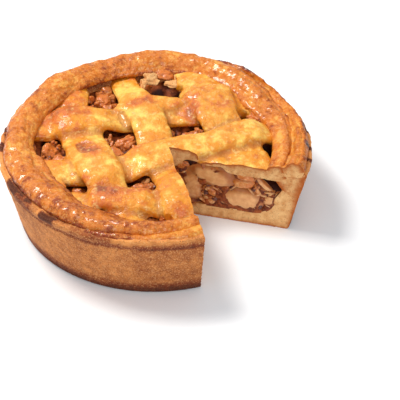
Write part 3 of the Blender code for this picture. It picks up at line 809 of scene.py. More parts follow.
def nick_depth(points):
    """How deep the oven's cracks are at each point, in metres."""
    depth = np.zeros(len(points))
    wander = 0.0009 * np.column_stack([lumps(points, 0.004, 21), lumps(points, 0.004, 22)])
    for start, end, deep in NICKS:
        start = np.array(start) * TOP_RADIUS / 10
        along = np.array(end) * TOP_RADIUS / 10 - start
        share = np.clip((points[:, :2] - start) @ along / (along @ along), 0, 1)
        away = np.linalg.norm(points[:, :2] + wander - start - share[:, None] * along, axis=1)
        shallow_ends = 1 - 0.6 * abs(2 * share - 1)
        depth = np.maximum(depth, deep / 1000 * np.exp(-(away / NICK_WIDTH) ** 2) * shallow_ends)
    return depth


# %% [markdown]
# ### Openings that stayed free
#
# The dough swells while it is remeshed, and would close some of the openings that show the
# fruit. So each of those is carved free with an upright blob, from the rim pieces and later
# from the strips, and a short smoothing rounds the edge that the blob leaves.

# %% Carve the openings
# x and y in tenths of TOP_RADIUS, half sizes in millimetres, and turn in degrees.
HOLES = [(5.9, 3.1, (9.5, 6.5, 20.0), -60), (0.6, 6.15, (16.0, 6.6, 20.0), 4),
         (0.33, -7.75, (11.5, 7.2, 20.0), 3), (-3.75, 5.1, (10.0, 19.5, 20.0), 2),
         (-6.65, -0.6, (11.5, 12.0, 20.0), 10)]
HOLE_LEVEL = 56.0
HOLE_BOXINESS = 0.6


def ellipsoid(x, y, level, sizes, turn, power=1.0):
    """A blob. x and y are in tenths of TOP_RADIUS, the rest in millimetres and degrees."""
    bpy.ops.mesh.primitive_ico_sphere_add(subdivisions=4, radius=1)
    blob = bpy.context.object
    turned = np.array(Matrix.Rotation(math.radians(turn), 3, "Z"))
    ball = read(blob)
    centre = np.array([x * TOP_RADIUS / 10, y * TOP_RADIUS / 10, level / 1000])
    write(blob, np.sign(ball) * abs(ball) ** power * np.array(sizes) / 1000 @ turned.T + centre)
    return blob


def carve(piece):
    """Keeps the openings free and softens their edges."""
    for x, y, sizes, turn in HOLES:
        blob = ellipsoid(x, y, HOLE_LEVEL, sizes, turn, HOLE_BOXINESS)
        apply(piece, "BOOLEAN", operation="DIFFERENCE", solver="MANIFOLD", object=blob)
        bpy.data.objects.remove(blob)
    piece.data.materials.clear()
    apply(piece, "SMOOTH", factor=0.5, iterations=3)


# %% [markdown]
# ### Wrinkles, grooves and the apron
#
# Inside the rim the dough sagged towards the filling, further in some places than in
# others. That apron is a push inwards, read from a table round the pie. Wrinkles are noise
# on unrolled coordinates, so that they run along the rim and not across it.

# %% Relief of the rim
# How far the dough spread inwards: degrees, millimetres.
APRON = [(0, 5), (60, 5), (92, 3), (112, -1), (150, -1), (178, 0), (205, 4), (252, 4), (266, 0), (280, 2),
         (300, 5)]
GROOVE_RADII = (0.1050, 0.1122)


def folds_along(points, seed):
    """Wrinkles that run along the rim: 1 in their creases, 0 elsewhere."""
    angle = np.radians(angles_of(points))
    radius = np.hypot(points[:, 0], points[:, 1])
    unrolled = np.column_stack((np.cos(angle) * 0.028, np.sin(angle) * 0.028, radius + points[:, 2] * 0.8))
    in_crease = np.exp(-(lumps(unrolled, 0.0048, seed) / 0.13) ** 2)
    return in_crease * smooth(lumps(points, 0.016, seed + 1) + 0.75)


def rim_relief(piece, seed):
    """Swells, wrinkles and cracks of a rim piece."""
    points = read(piece)
    up = smooth((outwards(piece)[:, 2] + 0.35) / 0.6)
    angle = angles_of(points)
    radius = np.hypot(points[:, 0], points[:, 1])
    side = smooth((angle - 336) / 10) * (angle > 180) + smooth((66 - angle) / 20) * (angle < 180)
    wander = 0.0007 * lumps(points, 0.011, seed) + 0.0005 * lumps(points, 0.004, seed + 8)
    grooves = sum(np.exp(-((radius - middle - wander) / 0.0012) ** 2) for middle in GROOVE_RADII)
    wet = smooth((angle - 180) / 12) * smooth((262 - angle) / 12)
    wet_skin = wet * (0.00034 * lumps(points, 0.0026, seed + 6) + 0.00030 * lumps(points, 0.0042, seed + 7))
    height = (0.00110 * lumps(points, 0.0170, seed + 1) + 0.00080 * lumps(points, 0.0078, seed + 2)
              + 0.00045 * lumps(points, 0.0036, seed + 3) + 0.00024 * lumps(points, 0.0021, seed + 4)
              + wet_skin)
    inwards = -(outwards(piece)[:, :2] * points[:, :2]).sum(axis=1) / radius
    apron = around(angle, APRON) / 1000 * smooth(inwards / 0.8) * smooth((0.0600 - points[:, 2]) / 0.006)
    relief(piece, (height - 0.0013 * grooves * side - 0.0006 * folds_along(points, seed + 5)) * up
           - nick_depth(points) + apron)


# %% Heat and shine of the rim
# Heat along the rim: degrees, and how browned it is there.
RIM_HEAT = [(0, 0.34), (30, 0.40), (60, 0.48), (90, 0.48), (120, 0.55), (150, 0.50), (180, 0.44),
            (205, 0.44), (225, 0.56), (250, 0.60), (275, 0.45), (292, 0.25), (330, 0.30)]


def rim_notes(piece, least):
    """What the glaze needs to know: ridges, creases, heat with painted shade in the front crevice, and shine.
    The right side is dry.
    """
    points = read(piece)
    radius = np.hypot(points[:, 0], points[:, 1])
    angle = angles_of(points)
    ridge = stands_out(piece, 14) * 2000
    outer_side = smooth((radius - 0.1105) / 0.006)
    front_side = smooth((angle - 185) / 20) * smooth((272 - angle) / 20)
    # The low outer side of the roll at the front is darker: partly browned, partly painted shade in the
    # crevice between the roll and the lip.
    low = smooth((radius - 0.106) / 0.005) * smooth((0.0605 - points[:, 2]) / 0.0040) * front_side
    heat = least + around(angle, RIM_HEAT) + 0.10 * outer_side + 0.9 * low + 1.3 * burnt(points)
    right_side = smooth((np.cos(np.radians(angle)) - 0.55) / 0.3) * smooth((radius - 0.1075) / 0.004)
    note(piece, "shine", 1 - 0.9 * right_side)
    note(piece, "raised", ridge)
    note(piece, "browned_and_shade", heat + 0.10 * right_side + 0.22 * np.clip(ridge, -1, 1)
         + 0.16 * lumps(points, 0.022, 31))


# %% Shape the three pieces of the rim
ROLL_VOXEL = 0.00085
ROLL_ROUNDS = 8
ROLL_SWELL = 0.0014
ROLL_CRUST = 0.0022
# Name, node, seed of its noise, how much deeper the knife goes, and its least heat.
RIM_ROWS = [("glazed_roll", "rim_roll_left", 40, 0.0, 0.0),
            ("side_roll", "rim_roll_right", 50, 0.00005, -0.10),
            ("front_fold", "rim_fold_front", 60, 0.00005, -0.22)]
rim_pieces = {}
for name, node, seed, deeper, least_heat in RIM_ROWS:
    piece = dough_from(name, [node], ROLL_VOXEL, ROLL_ROUNDS, ROLL_SWELL)
    rim_relief(piece, seed)
    carve(piece)
    piece.data.materials.append(rim.material)
    cut_open(piece, crumb_knife, ROLL_CRUST, faces_up, deeper)
    within_frame(piece)
    rim_notes(piece, least_heat)
    rim_pieces[name] = piece
    print(name, len(piece.data.polygons), "faces,", [slot.name for slot in piece.material_slots])

# %% [markdown]
# ## The lattice
#
# Six strips lie over and under each other and bake into one another, so they are remeshed
# as one piece: the creases at the crossings fill in softly. Where two strips left only a
# dimple between them, a web of dough lies in it. Steam lifts the dough in a few blisters,
# the oven browns it in patches, and the egg gathers in places. All of them are lists that a
# baker could read off the top of the pie.

# %% Webs, blisters, patches and glaze
LATTICE_NODES = [f"lattice_{way}_{number}" for way in ("down", "across") for number in (1, 2, 3)]
# Webs: x, y in tenths of TOP_RADIUS, height and half sizes in millimetres, turn in degrees.
WEBS = [(3.6, -1.35, 52.0, (15.0, 6.0, 3.0), -14), (-4.2, -6.2, 54.5, (12.0, 6.0, 3.0), -35),
        (-5.9, -4.0, 53.5, (8.0, 5.0, 2.5), -50), (-5.8, 6.2, 56.5, (9.0, 8.0, 3.6), 40),
        (-7.4, 4.4, 56.0, (8.0, 7.0, 3.4), 60), (-0.5, 4.1, 57.6, (27.0, 11.0, 3.2), 8),
        (1.9, 3.9, 53.5, (7.0, 4.0, 2.5), -60), (4.9, 4.0, 54.0, (6.0, 5.0, 2.5), 10)]
# Blisters: x, y and half width in tenths of TOP_RADIUS, and height in millimetres.
BLISTERS = [(3.2, 5.3, 1.9, 3.6), (4.9, 6.0, 1.2, 1.5), (-2.0, 6.9, 1.3, -3.0), (-2.6, 8.0, 1.0, -2.0),
            (2.9, 6.9, 1.0, 0.9), (-1.0, 3.6, 1.3, 0.9), (-3.6, -2.6, 1.3, 1.2), (0.2, -1.1, 1.0, 0.5),
            (5.3, 1.4, 1.3, 0.9), (-6.6, 2.5, 1.5, 1.1), (-6.7, 6.1, 1.3, 0.9), (-6.0, -2.0, 1.0, 0.9),
            (-1.6, -5.6, 1.5, 0.9), (1.4, -6.0, 1.0, 0.7), (6.9, -0.4, 1.2, 0.7), (3.3, 3.4, 0.5, -0.8)]
# Browned patches: x, y and half width in tenths of TOP_RADIUS, and strength. Pale is negative.
PATCHES = [(-0.9, 4.1, 0.8, 0.70), (-1.7, 4.1, 0.5, 0.3), (2.3, 3.3, 0.9, 0.65), (4.5, 3.9, 0.8, 0.6),
           (-6.8, 6.9, 1.5, 0.55), (-5.6, 5.2, 1.2, 0.35), (-3.4, 8.0, 1.0, 0.6), (-1.8, 7.8, 0.8, 0.6),
           (-7.8, 3.4, 1.0, 0.6), (-6.4, 2.6, 1.6, 0.60), (-5.0, 3.4, 1.1, 0.3), (-6.6, -1.4, 0.8, 0.5),
           (-7.7, -2.6, 0.8, 0.6), (-3.7, -1.6, 0.6, 0.45), (-1.1, -1.0, 0.5, 0.45), (1.3, -3.0, 0.5, 0.6),
           (0.9, -4.6, 0.5, 0.4), (1.7, -6.9, 0.6, 0.45), (-3.2, -4.9, 0.8, 0.45), (-2.4, -5.9, 1.4, 0.55),
           (-4.8, -4.0, 0.6, 0.6), (-0.4, -5.0, 0.6, 0.35), (6.0, -1.2, 0.7, 0.4), (8.3, -2.0, 0.9, 0.8),
           (5.2, 5.6, 1.0, 0.35), (2.4, 4.6, 1.0, 0.25), (7.6, 4.6, 0.8, 0.3), (-5.7, 0.4, 0.5, -0.2),
           (-1.2, 2.4, 1.3, -0.2), (-3.3, 0.6, 0.7, -0.3), (3.6, 0.0, 1.2, -0.2), (-2.3, 6.7, 0.9, -0.8),
           (-1.6, 5.6, 0.7, -0.5), (-3.9, -2.7, 1.1, -0.2), (6.4, 2.1, 0.8, -0.25), (-1.2, -2.6, 1.0, -0.15),
           (-1.2, 5.4, 0.5, -0.2)]
# Places with more glaze: x, y and half width in tenths of TOP_RADIUS, and strength.
SHINES = [(3.1, 4.6, 2.1, 1.4), (-4.3, -0.7, 0.7, 0.8), (-1.4, 2.4, 1.2, 0.6), (4.4, 1.4, 1.6, 0.6),
          (-3.6, -2.8, 1.0, 0.5), (-6.2, 3.2, 1.2, 0.5), (-2.2, -5.6, 1.6, 0.6), (0.6, -2.6, 0.8, 0.5)]
# The sunken patch of the left strip, in tenths of TOP_RADIUS, and its depth in metres.
DENT_CENTRE = (-4.32, -0.70)
DENT_HALF = (0.70, 0.85)
DENT_LEAN = 0.12
DENT_DEPTH = 0.0017


def spots(points, rows):
    """The sum of round soft spots at each point."""
    total = np.zeros(len(points))
    wander = 0.0020 * np.column_stack([lumps(points, 0.008, 71), lumps(points, 0.008, 72)])
    for x, y, half, strength in rows:
        away = points[:, :2] + wander - np.array([x, y]) * TOP_RADIUS / 10
        total += strength * np.exp(-(away ** 2).sum(axis=1) / (half * TOP_RADIUS / 10) ** 2)
    return total


def dent(points):
    """1 inside the sunken patch of the left strip, 0 outside."""
    away = points[:, :2] / (TOP_RADIUS / 10) - np.array(DENT_CENTRE)
    wander = 0.10 * lumps(points, 0.005, 78)
    across = abs(away[:, 0] + DENT_LEAN * away[:, 1]) / DENT_HALF[0]
    down = abs(away[:, 1]) / DENT_HALF[1]
    return smooth((1.15 + wander - (across ** 3 + down ** 3)) / 0.55)


# %% Shape the lattice
LATTICE_VOXEL = 0.00105
LATTICE_ROUNDS = 12
LATTICE_SWELL = 0.0018
LATTICE_CRUST = 0.0015
webs = [ellipsoid(*row) for row in WEBS]
lattice = dough_from("golden_lattice", LATTICE_NODES, LATTICE_VOXEL, LATTICE_ROUNDS, LATTICE_SWELL, webs)
carve(lattice)
points = read(lattice)
up = smooth((outwards(lattice)[:, 2] + 0.7) / 0.7)
puffs = spots(points, BLISTERS) / 1000
ripples = 0.00050 * lumps(points, 0.0052, 79) + 0.00034 * lumps(points, 0.0030, 80)
glints = np.clip(spots(points, SHINES), 0, 1) * ripples
wrinkles = glints + (0.00095 * lumps(points, 0.0155, 73) + 0.00060 * lumps(points, 0.0070, 74)
                     + 0.00034 * lumps(points, 0.0034, 75) + 0.00014 * lumps(points, 0.0019, 77))
relief(lattice, up * (puffs + wrinkles - DENT_DEPTH * dent(points)) - nick_depth(points) * 0.6)
lattice.data.materials.append(gold.material)
cut_open(lattice, crumb_knife, LATTICE_CRUST, faces_up, 0.00010)
within_frame(lattice)

# %% Heat and shine of the lattice
points = read(lattice)
ridge = stands_out(lattice, 16) * 1600
# Faces that look down are painted darker: painted shade under the strips.
underside = smooth((-outwards(lattice)[:, 2] + 0.1) / 0.5)
note(lattice, "raised", ridge)
note(lattice, "shine", np.clip(spots(points, SHINES), 0, 1))
note(lattice, "browned_and_shade", 0.24 + 0.75 * dent(points) + spots(points, PATCHES) + 0.12 * np.clip(ridge, -1, 1)
     + 0.12 * lumps(points, 0.030, 76) + 0.4 * underside)
print("lattice:", len(lattice.data.polygons), "faces,", [slot.name for slot in lattice.material_slots])

# %% [markdown]
# ## The filling
#
# Baked fruit is soft and pale with a brown rim, and lies in syrup that turned dark with
# spice. The knife cuts the chunks clean but leaves hollows between them, so the syrup is a
# core that stands back from the cut, and each chunk is a lump of its own, planed flat where
# it met the blade. Raisins are small, dark and wrinkled. On the syrup `raised` tells high
# from low, and low is painted dark, a painted shade in the hollows. On the fruit `edge` and
# `cooked` say how brown it is.

# %% Finishes of the filling
syrup = Finish("spiced syrup", Roughness=0.50, Coat_Weight=0.06, Coat_Roughness=0.15, Specular_IOR_Level=0.25)
syrup_mottle = syrup.noise(0.0055, detail=5.0, rough=0.62)
syrup_fleck = syrup.noise(0.0016, detail=3.0)
syrup_colour = syrup.blend(syrup_mottle.between(0.34, 0.66), tone(94, 34, 9), tone(164, 80, 30))
syrup_colour = syrup.blend(syrup_fleck.between(0.58, 0.75) * 0.5, syrup_colour, tone(222, 146, 84))
# Low places and hollows of the syrup are painted darker: painted shade.
syrup_colour = syrup.blend(1 - syrup.noted("raised").between(-0.8, 0.1), syrup_colour, tone(60, 18, 4))
syrup.feed(Base_Color=syrup_colour)
syrup.bump(syrup_mottle + syrup_fleck * 0.5, 0.6, 0.0014)

fruit = Finish("soft fruit", Roughness=0.36, Coat_Weight=0.25, Coat_Roughness=0.14, Specular_IOR_Level=0.35,
               Subsurface_Weight=0.2, Subsurface_Radius=(0.005, 0.0025, 0.0012), Subsurface_Scale=1.0)
fruit_mottle = fruit.noise(0.0085, detail=3.0, rough=0.5)
fruit_fibre = fruit.noise(0.0036, detail=2.0)
fruit_fleck = fruit.noise(0.0017, detail=3.0, rough=0.6)
fruit_gone = fruit.noted("cooked")
fruit_edge = fruit.noted("edge") + (fruit_mottle - 0.5) * 0.8
fruit_blotch = (fruit_mottle - 0.5) * 0.9 + (fruit_fibre - 0.5) * 0.5
fruit_cooked = fruit_gone + fruit_blotch + (fruit_fleck - 0.5) * fruit_gone * 2.4
fruit_colour = fruit.blend(fruit_fibre.between(0.25, 0.75), tone(238, 180, 118), tone(220, 152, 92))
fruit_colour = fruit.blend(fruit_edge.between(0.1, 1.2), fruit_colour, tone(168, 92, 38))
fruit_colour = fruit.blend(fruit_cooked.between(0.1, 0.7), fruit_colour, tone(206, 114, 44))
fruit_colour = fruit.blend(fruit_cooked.between(0.6, 1.1), fruit_colour, tone(108, 46, 18))
fruit.feed(Base_Color=fruit_colour)
fruit.bump(fruit_fleck * fruit_gone + fruit_mottle, 0.5, 0.0010)

raisin = Finish("dark raisin", Roughness=0.4, Coat_Weight=0.3, Coat_Roughness=0.15)
raisin_mottle = raisin.noise(0.0015, detail=3.0)
raisin.feed(Base_Color=raisin.blend(raisin_mottle.between(0.35, 0.7), tone(64, 24, 12), tone(116, 54, 28)))
raisin.bump(raisin_mottle, 0.6, 0.0006)

# %% [markdown]
# ### Room for the filling
#
# Fruit may reach the floor, the wall and the undersides of the strips, and no further. The
# strips' own solids go into a search tree, and a ray from below finds the dough above each
# point. The wall is the hollow of the case, read at the point's height.

# %% Keep points inside the case
WELL_UNDER = 0.0300
TOP_OF_FRUIT = 0.0600
strips = bmesh.new()
for node in LATTICE_NODES:
    strips.from_mesh(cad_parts[node].data)
strip_tree = BVHTree.FromBMesh(strips)
strips.free()
hollow = np.array(hollow_outline(FIT_GAP)[3:])


def in_the_case(points):
    """Keeps points above the floor, inside the wall and under the strips."""
    points = points.copy()
    for row in points:
        hit = strip_tree.ray_cast(Vector((row[0], row[1], WELL_UNDER)), Vector((0, 0, 1)))[0]
        row[2] = min(row[2], (hit.z if hit else TOP_OF_FRUIT) - 0.0002)
    points[:, 2] = np.maximum(points[:, 2], BASE_THICKNESS - 0.0002)
    room = np.interp(points[:, 2], hollow[:, 1], hollow[:, 0]) + 0.0005
    radius = np.maximum(np.hypot(points[:, 0], points[:, 1]), 0.0001)
    points[:, :2] *= np.minimum(room / radius, 1)[:, None]
    return points


# %% [markdown]
# ### The syrup between the fruit
#
# The core is spun from the hollow of the case, a millimetre larger, so that no slit shows
# between them. A second knife, with deep relief, cuts it back behind the chunks. The larger
# hollows that show are lists: some at the right cut face, some under the openings.

# %% Hollows of the syrup
CORE_STATIONS = 260
CORE_SPREAD = 0.0009
# Hollows between the chunks at the right cut face: distance from the corner, height, half
# width, half height and depth in millimetres.
FACE_HOLLOWS = [(83, 39, 5.5, 5.5, 12), (79, 43, 4, 3.5, 9), (68, 49, 6, 3, 9), (50, 34, 2.6, 5, 6),
                (23, 16, 3, 5, 6)]
# Hollows under the openings: x, y and half width in tenths of TOP_RADIUS, depth in millimetres.
TOP_HOLLOWS = [(0.0, 6.3, 0.75, -15.0), (1.5, 6.4, 0.6, -14.0), (7.3, 0.1, 0.7, -13.0),
               (-3.9, 4.1, 0.5, -5.0), (2.7, 1.0, 0.6, -4.0), (-7.2, 1.4, 0.7, -4.0),
               (5.6, 3.2, 0.5, -6.0), (-2.9, 0.2, 0.4, -4.0)]


def spoon_relief(points):
    """The uneven face behind the chunks, about 3 mm into the pie with deeper pockets."""
    pockets = smooth((lumps(points, 0.0085, 81) - 0.10) / 0.5)
    away = points - np.array(CUT_CORNER)
    along = away @ np.array(RIGHT_FACE) * 1000
    height = points[:, 2] * 1000
    on_right = abs(away @ np.array(OUT_OF_RIGHT)) < 0.002
    hollows = sum(deep / 1000 * np.exp(-((along - middle) / wide) ** 2 - ((height - level) / tall) ** 2)
                  for middle, level, wide, tall, deep in FACE_HOLLOWS)
    off_corner = smooth((np.hypot(away[:, 0], away[:, 1]) - 0.002) / 0.012)
    room = np.interp(points[:, 2], hollow[:, 1], hollow[:, 0]) - np.hypot(points[:, 0], points[:, 1])
    off_corner *= smooth(room / 0.006) * smooth((points[:, 2] - BASE_THICKNESS) / 0.004)
    rough = 0.0006 + 0.0008 * lumps(points, 0.004, 82) + 0.0005 * lumps(points, 0.002, 85) + 0.0026 * pockets
    return 0.0004 + hollows * on_right + off_corner * rough


# %% Syrup core
CORE_STEP = 0.0018
CORE_TOP = FILLING_HEIGHT - 0.0002
# The place at the right cut face that is painted darkest, a painted shade in its deep
# hollow: distance from the corner, and height.
DARK_ALONG = 0.081
DARK_HEIGHT = 0.040
core_top = resampled([(SHELF_RADIUS + CORE_SPREAD, CORE_TOP), (0.0, CORE_TOP)], CORE_STEP)
syrup_core = spun("syrup_core", hollow_outline(-CORE_SPREAD) + core_top[1:], CORE_STATIONS)
points = read(syrup_core)
off_wall = smooth((0.094 - np.hypot(points[:, 0], points[:, 1])) / 0.008)
on_top = smooth((points[:, 2] - 0.0455) / 0.0005) * off_wall
points[:, 2] += on_top * (0.0020 * lumps(points, 0.0085, 83) + 0.0014 * lumps(points, 0.0040, 84)
                          + 0.0006 * lumps(points, 0.0022, 86) - 0.0016 + spots(points, TOP_HOLLOWS) / 1000)
write(syrup_core, baked(points))
spoon = knife("spoon", spoon_relief, syrup)
syrup_core.data.materials.append(syrup.material)
slice_out(syrup_core, spoon)
points = read(syrup_core)
# Painted shade: the syrup is noted lower, so darker, in the hollows under the openings, in low places and at
# the deep hollow of the right cut face.
in_hollow = spots(points, TOP_HOLLOWS) * smooth((points[:, 2] - 0.028) / 0.004)
away = points - np.array(CUT_CORNER)
along = away @ np.array(RIGHT_FACE)
behind = np.exp(-((along - DARK_ALONG) / 0.009) ** 2 - ((away[:, 2] - DARK_HEIGHT) / 0.007) ** 2)
low_lying = np.where(np.hypot(away[:, 0], away[:, 1]) < 0.007, 0.0, stands_out(syrup_core, 12) * 1300)
note(syrup_core, "raised", low_lying + 0.16 * in_hollow - 2.0 * behind)
print("core:", len(syrup_core.data.polygons), "faces")

# %% [markdown]
# ### One lump of fruit
#
# Each chunk starts as a ball of small triangles. It is pushed towards a box, made uneven,
# put in its place, kept in the case, and then planed: any point past the blade slides back
# on to it. A lump of one cut face is planed by that face alone, or it would bridge the
# corner. Two numbers stay with each point: `edge`, how near it is to the chunk's own rim,
# and `cooked`, how far the whole chunk has gone in the oven.

# %% Make a lump
BOXINESS = 0.80


def lump(name, centre, half_sizes, axes, seed, cooked, rough, detail, face=None):
    """A soft-cornered piece of fruit at its place. Detail is the ball's, face the cut face it shows at."""
    bpy.ops.mesh.primitive_ico_sphere_add(subdivisions=detail, radius=1)
    piece = bpy.context.object
    piece.name = name
    ball = read(piece)
    boxed = np.sign(ball) * abs(ball) ** BOXINESS
    offset = np.array([seed * 7.3, seed * 1.9, 0.0])
    uneven = (1 + (0.20 + 0.16 * rough) * lumps(ball + offset, 0.9, 91)
              + (0.07 + 0.18 * rough) * lumps(ball + offset, 0.40, 92)
              + 0.09 * rough * lumps(ball + offset, 0.17, 95))
    local = boxed * np.array(half_sizes) * uneven[:, None]
    points = np.array(centre) + local @ np.array(axes).T
    points = in_the_case(points)
    past = depth_in_pie(points)
    wanted = (0.00035 + 0.00040 * lumps(points, 0.0065, 93) + 0.00015 * lumps(points, 0.0024, 94)
              + 0.0024 * np.hypot(ball[:, 0], ball[:, 2]) ** 2.6)
    for out in (OUT_OF_LEFT, OUT_OF_RIGHT):
        beyond = (points - np.array(CUT_CORNER)) @ np.array(out) + wanted
        other = (points - np.array(CUT_CORNER)) @ np.array(OUT_OF_LEFT + OUT_OF_RIGHT - out) + wanted
        mine = face == out if face else beyond <= other
        slide = (past < wanted) & (beyond > 0) & mine
        points[slide] -= beyond[slide, None] * np.array(out)
    write(piece, points)
    if rough > 0.5:
        shrivelled = 0.0006 * lumps(points, 0.0030, 96) + 0.00035 * lumps(points, 0.0016, 97)
        relief(piece, shrivelled * smooth(past / 0.002))
    note(piece, "edge", smooth((np.hypot(ball[:, 0], ball[:, 2]) - 0.25) / 0.60))
    note(piece, "cooked", np.full(len(points), cooked))
    return piece


def face_axes(along, tilt):
    """Length, depth and height directions of a lump that shows at a cut face."""
    turned = math.radians(tilt)
    up = Vector((0, 0, 1))
    lengthwise = along * math.cos(turned) + up * math.sin(turned)
    upward = up * math.cos(turned) - along * math.sin(turned)
    return Matrix((lengthwise, along.cross(up), upward)).transposed()


def joined(name, pieces, finish):
    """Joins pieces of one kind into one object with one finish."""
    bpy.ops.object.select_all(action="DESELECT")
    for piece in pieces:
        piece.select_set(True)
    bpy.context.view_layer.objects.active = pieces[0]
    bpy.ops.object.join()
    whole = pieces[0]
    whole.name = name
    whole.data.materials.append(finish.material)
    return whole


# %% [markdown]
# ### Where the fruit lies
#
# The chunks and raisins that show are placed one by one, as a cook would arrange them, and the
# small bits and shreds are strewn by a seeded draw. A bit stays in an opening of the lattice
# and out of the deep hollows, and a shred stays off the chunks, where it would look like a
# wart.

# %% Lists of fruit and raisins
# Distance from the corner along the face, height, half length and half height in
# millimetres, tilt in degrees, and how far it is cooked.
RIGHT_FACE_FRUIT = [(33, 38.5, 20.5, 9.4, -14, 0.0), (56, 20.0, 20.5, 11.0, 2, 0.0),
                    (16, 27.0, 9.5, 15.5, 8, 0.2), (58, 43.5, 9.0, 4.0, -8, 0.55),
                    (58, 36.0, 8.5, 5.2, 8, 0.45), (73, 38.5, 10.5, 2.6, -42, 0.1),
                    (79, 24.5, 8.0, 5.0, 28, 0.2), (86, 31.0, 3.6, 3.0, 0, 0.3),
                    (8, 46.0, 6.0, 4.5, 0, 0.7), (33, 24.5, 4.0, 5.0, 60, 0.6),
                    (32, 15.0, 5.5, 4.0, 10, 0.45), (69, 31.5, 5.0, 2.2, -50, 0.5)]
LEFT_FACE_FRUIT = [(17, 26.5, 14.5, 11.0, -3, 0.1), (44, 29.0, 12.0, 10.5, 4, 0.0),
                   (39, 16.0, 6.5, 3.6, 12, 0.3), (75, 28.5, 12.0, 11.0, -32, 0.1),
                   (64, 40.0, 7.5, 4.2, 28, 0.4), (25, 42.0, 12.0, 2.8, -4, 0.3),
                   (60, 18.0, 6.0, 4.6, -10, 0.2), (50, 43.5, 8.0, 2.4, 6, 0.6)]
RIGHT_FACE_RAISINS = [(35, 18.0, 2.8), (27.5, 22.5, 2.6), (8, 41.0, 3.2), (66, 33.0, 2.6),
                      (48.5, 31.0, 2.2), (71, 16.0, 2.2)]
LEFT_FACE_RAISINS = [(11, 41.0, 2.8), (58, 27.0, 3.0), (68, 16.5, 2.6), (26, 14.5, 2.4), (44, 42.5, 2.4)]
# In the openings: x and y in tenths of TOP_RADIUS, half length, half width and rise above
# the filling in millimetres, and turn in degrees.
OPENING_FRUIT = [(-3.6, 5.9, 11.0, 6.5, 4.4, 80), (-3.1, 4.9, 7.5, 5.5, 2.6, 20),
                 (-3.6, 7.2, 7.5, 5.0, 3.4, -10), (-1.9, 1.2, 8.0, 5.0, 3.6, 35),
                 (-2.6, 0.0, 6.5, 5.0, 2.2, -50), (-1.5, -0.3, 6.0, 4.5, 3.0, 80),
                 (2.4, 1.9, 8.0, 5.0, 2.8, 14), (3.2, 1.5, 5.5, 4.0, 2.8, 70),
                 (-6.8, 0.2, 9.0, 6.0, 3.4, 75), (-6.0, -0.8, 8.0, 5.5, 2.4, -20),
                 (-0.9, -3.9, 9.5, 6.0, 3.4, 5), (0.1, -4.4, 7.0, 4.5, 2.0, 60),
                 (0.6, -7.4, 8.5, 5.0, 3.6, -5), (-0.9, -7.1, 5.5, 4.0, 1.6, 30),
                 (-1.0, 7.8, 7.0, 5.0, 3.0, -30), (1.7, 7.9, 6.5, 4.5, 4.0, 20),
                 (0.5, 7.9, 8.5, 6.0, 11.0, -15), (6.45, 3.1, 7.0, 5.0, 9.0, -50),
                 (-4.7, -4.0, 6.0, 4.0, 1.2, -30), (6.0, 3.4, 5.0, 3.5, 1.6, 30)]
BIT_COUNT = 76
SHRED_COUNT = 34
DEEP_HOLLOWS = FACE_HOLLOWS[:3]
FACE_DEPTH = 0.0060
LONG_CHUNK = 6.5


def on_face(along, distance, height, tilt, deeper):
    """The place and axes of a lump at a cut face."""
    axes = face_axes(along, tilt)
    place = CUT_CORNER + along * distance / 1000 + Vector((0, 0, height / 1000))
    return place + axes.col[1] * deeper, axes


def ball_detail(length):
    """Long chunks, by their half length in millimetres, start from a finer ball."""
    return 5 if length > LONG_CHUNK else 4


# %% Fruit at the cut faces
FACES = ((RIGHT_FACE, OUT_OF_RIGHT, RIGHT_FACE_FRUIT, RIGHT_FACE_RAISINS, 1),
         (LEFT_FACE, OUT_OF_LEFT, LEFT_FACE_FRUIT, LEFT_FACE_RAISINS, 41))
draw = np.random.default_rng(7)
chunks = []
raisins = []
bits = []
for along, out, fruit_rows, raisin_rows, seed in FACES:
    for k, (distance, height, length, rise, tilt, cooked) in enumerate(fruit_rows):
        centre, axes = on_face(along, distance, height, tilt, 0.0006)
        sizes = (length / 1000, min(FACE_DEPTH, length * 0.0013), rise / 1000)
        chunks.append(lump("chunk", centre, sizes, axes, seed + k, cooked, cooked, ball_detail(length), out))
    for k, (distance, height, size) in enumerate(raisin_rows):
        centre, axes = on_face(along, distance, height, 17 * k, 0.001)
        sizes = (size / 1000, size / 1000, size * 0.0008)
        raisins.append(lump("raisin", centre, sizes, axes, seed + 20 + k, 1.0, 0.7, 4, out))
    for k in range(SHRED_COUNT):
        distance, height = draw.uniform(9, 88), draw.uniform(14, 45)
        while any(((distance - row[0]) / row[2]) ** 2 + ((height - row[1]) / row[3]) ** 2 < 1.1
                  for row in fruit_rows + DEEP_HOLLOWS):
            distance, height = draw.uniform(9, 88), draw.uniform(14, 45)
        centre, axes = on_face(along, distance, height, draw.uniform(-60, 40), draw.uniform(0.0012, 0.0035))
        sizes = (draw.uniform(0.0020, 0.0052), draw.uniform(0.0012, 0.0025), draw.uniform(0.0007, 0.0017))
        bits.append(lump("bit", centre, sizes, axes, seed + 50 + k, draw.uniform(0.1, 1.0), 1.0, 4, out))
print("at the cut faces:", len(chunks), "chunks,", len(raisins), "raisins,", len(bits), "shreds")


# %% Fruit in the openings
CHUNK_RISE = 0.0045


def laid(turn, lean):
    """Axes of a lump that is turned on the table and leans, both in radians."""
    return Matrix.Rotation(turn, 3, "Z") @ Matrix.Rotation(lean, 3, "X")


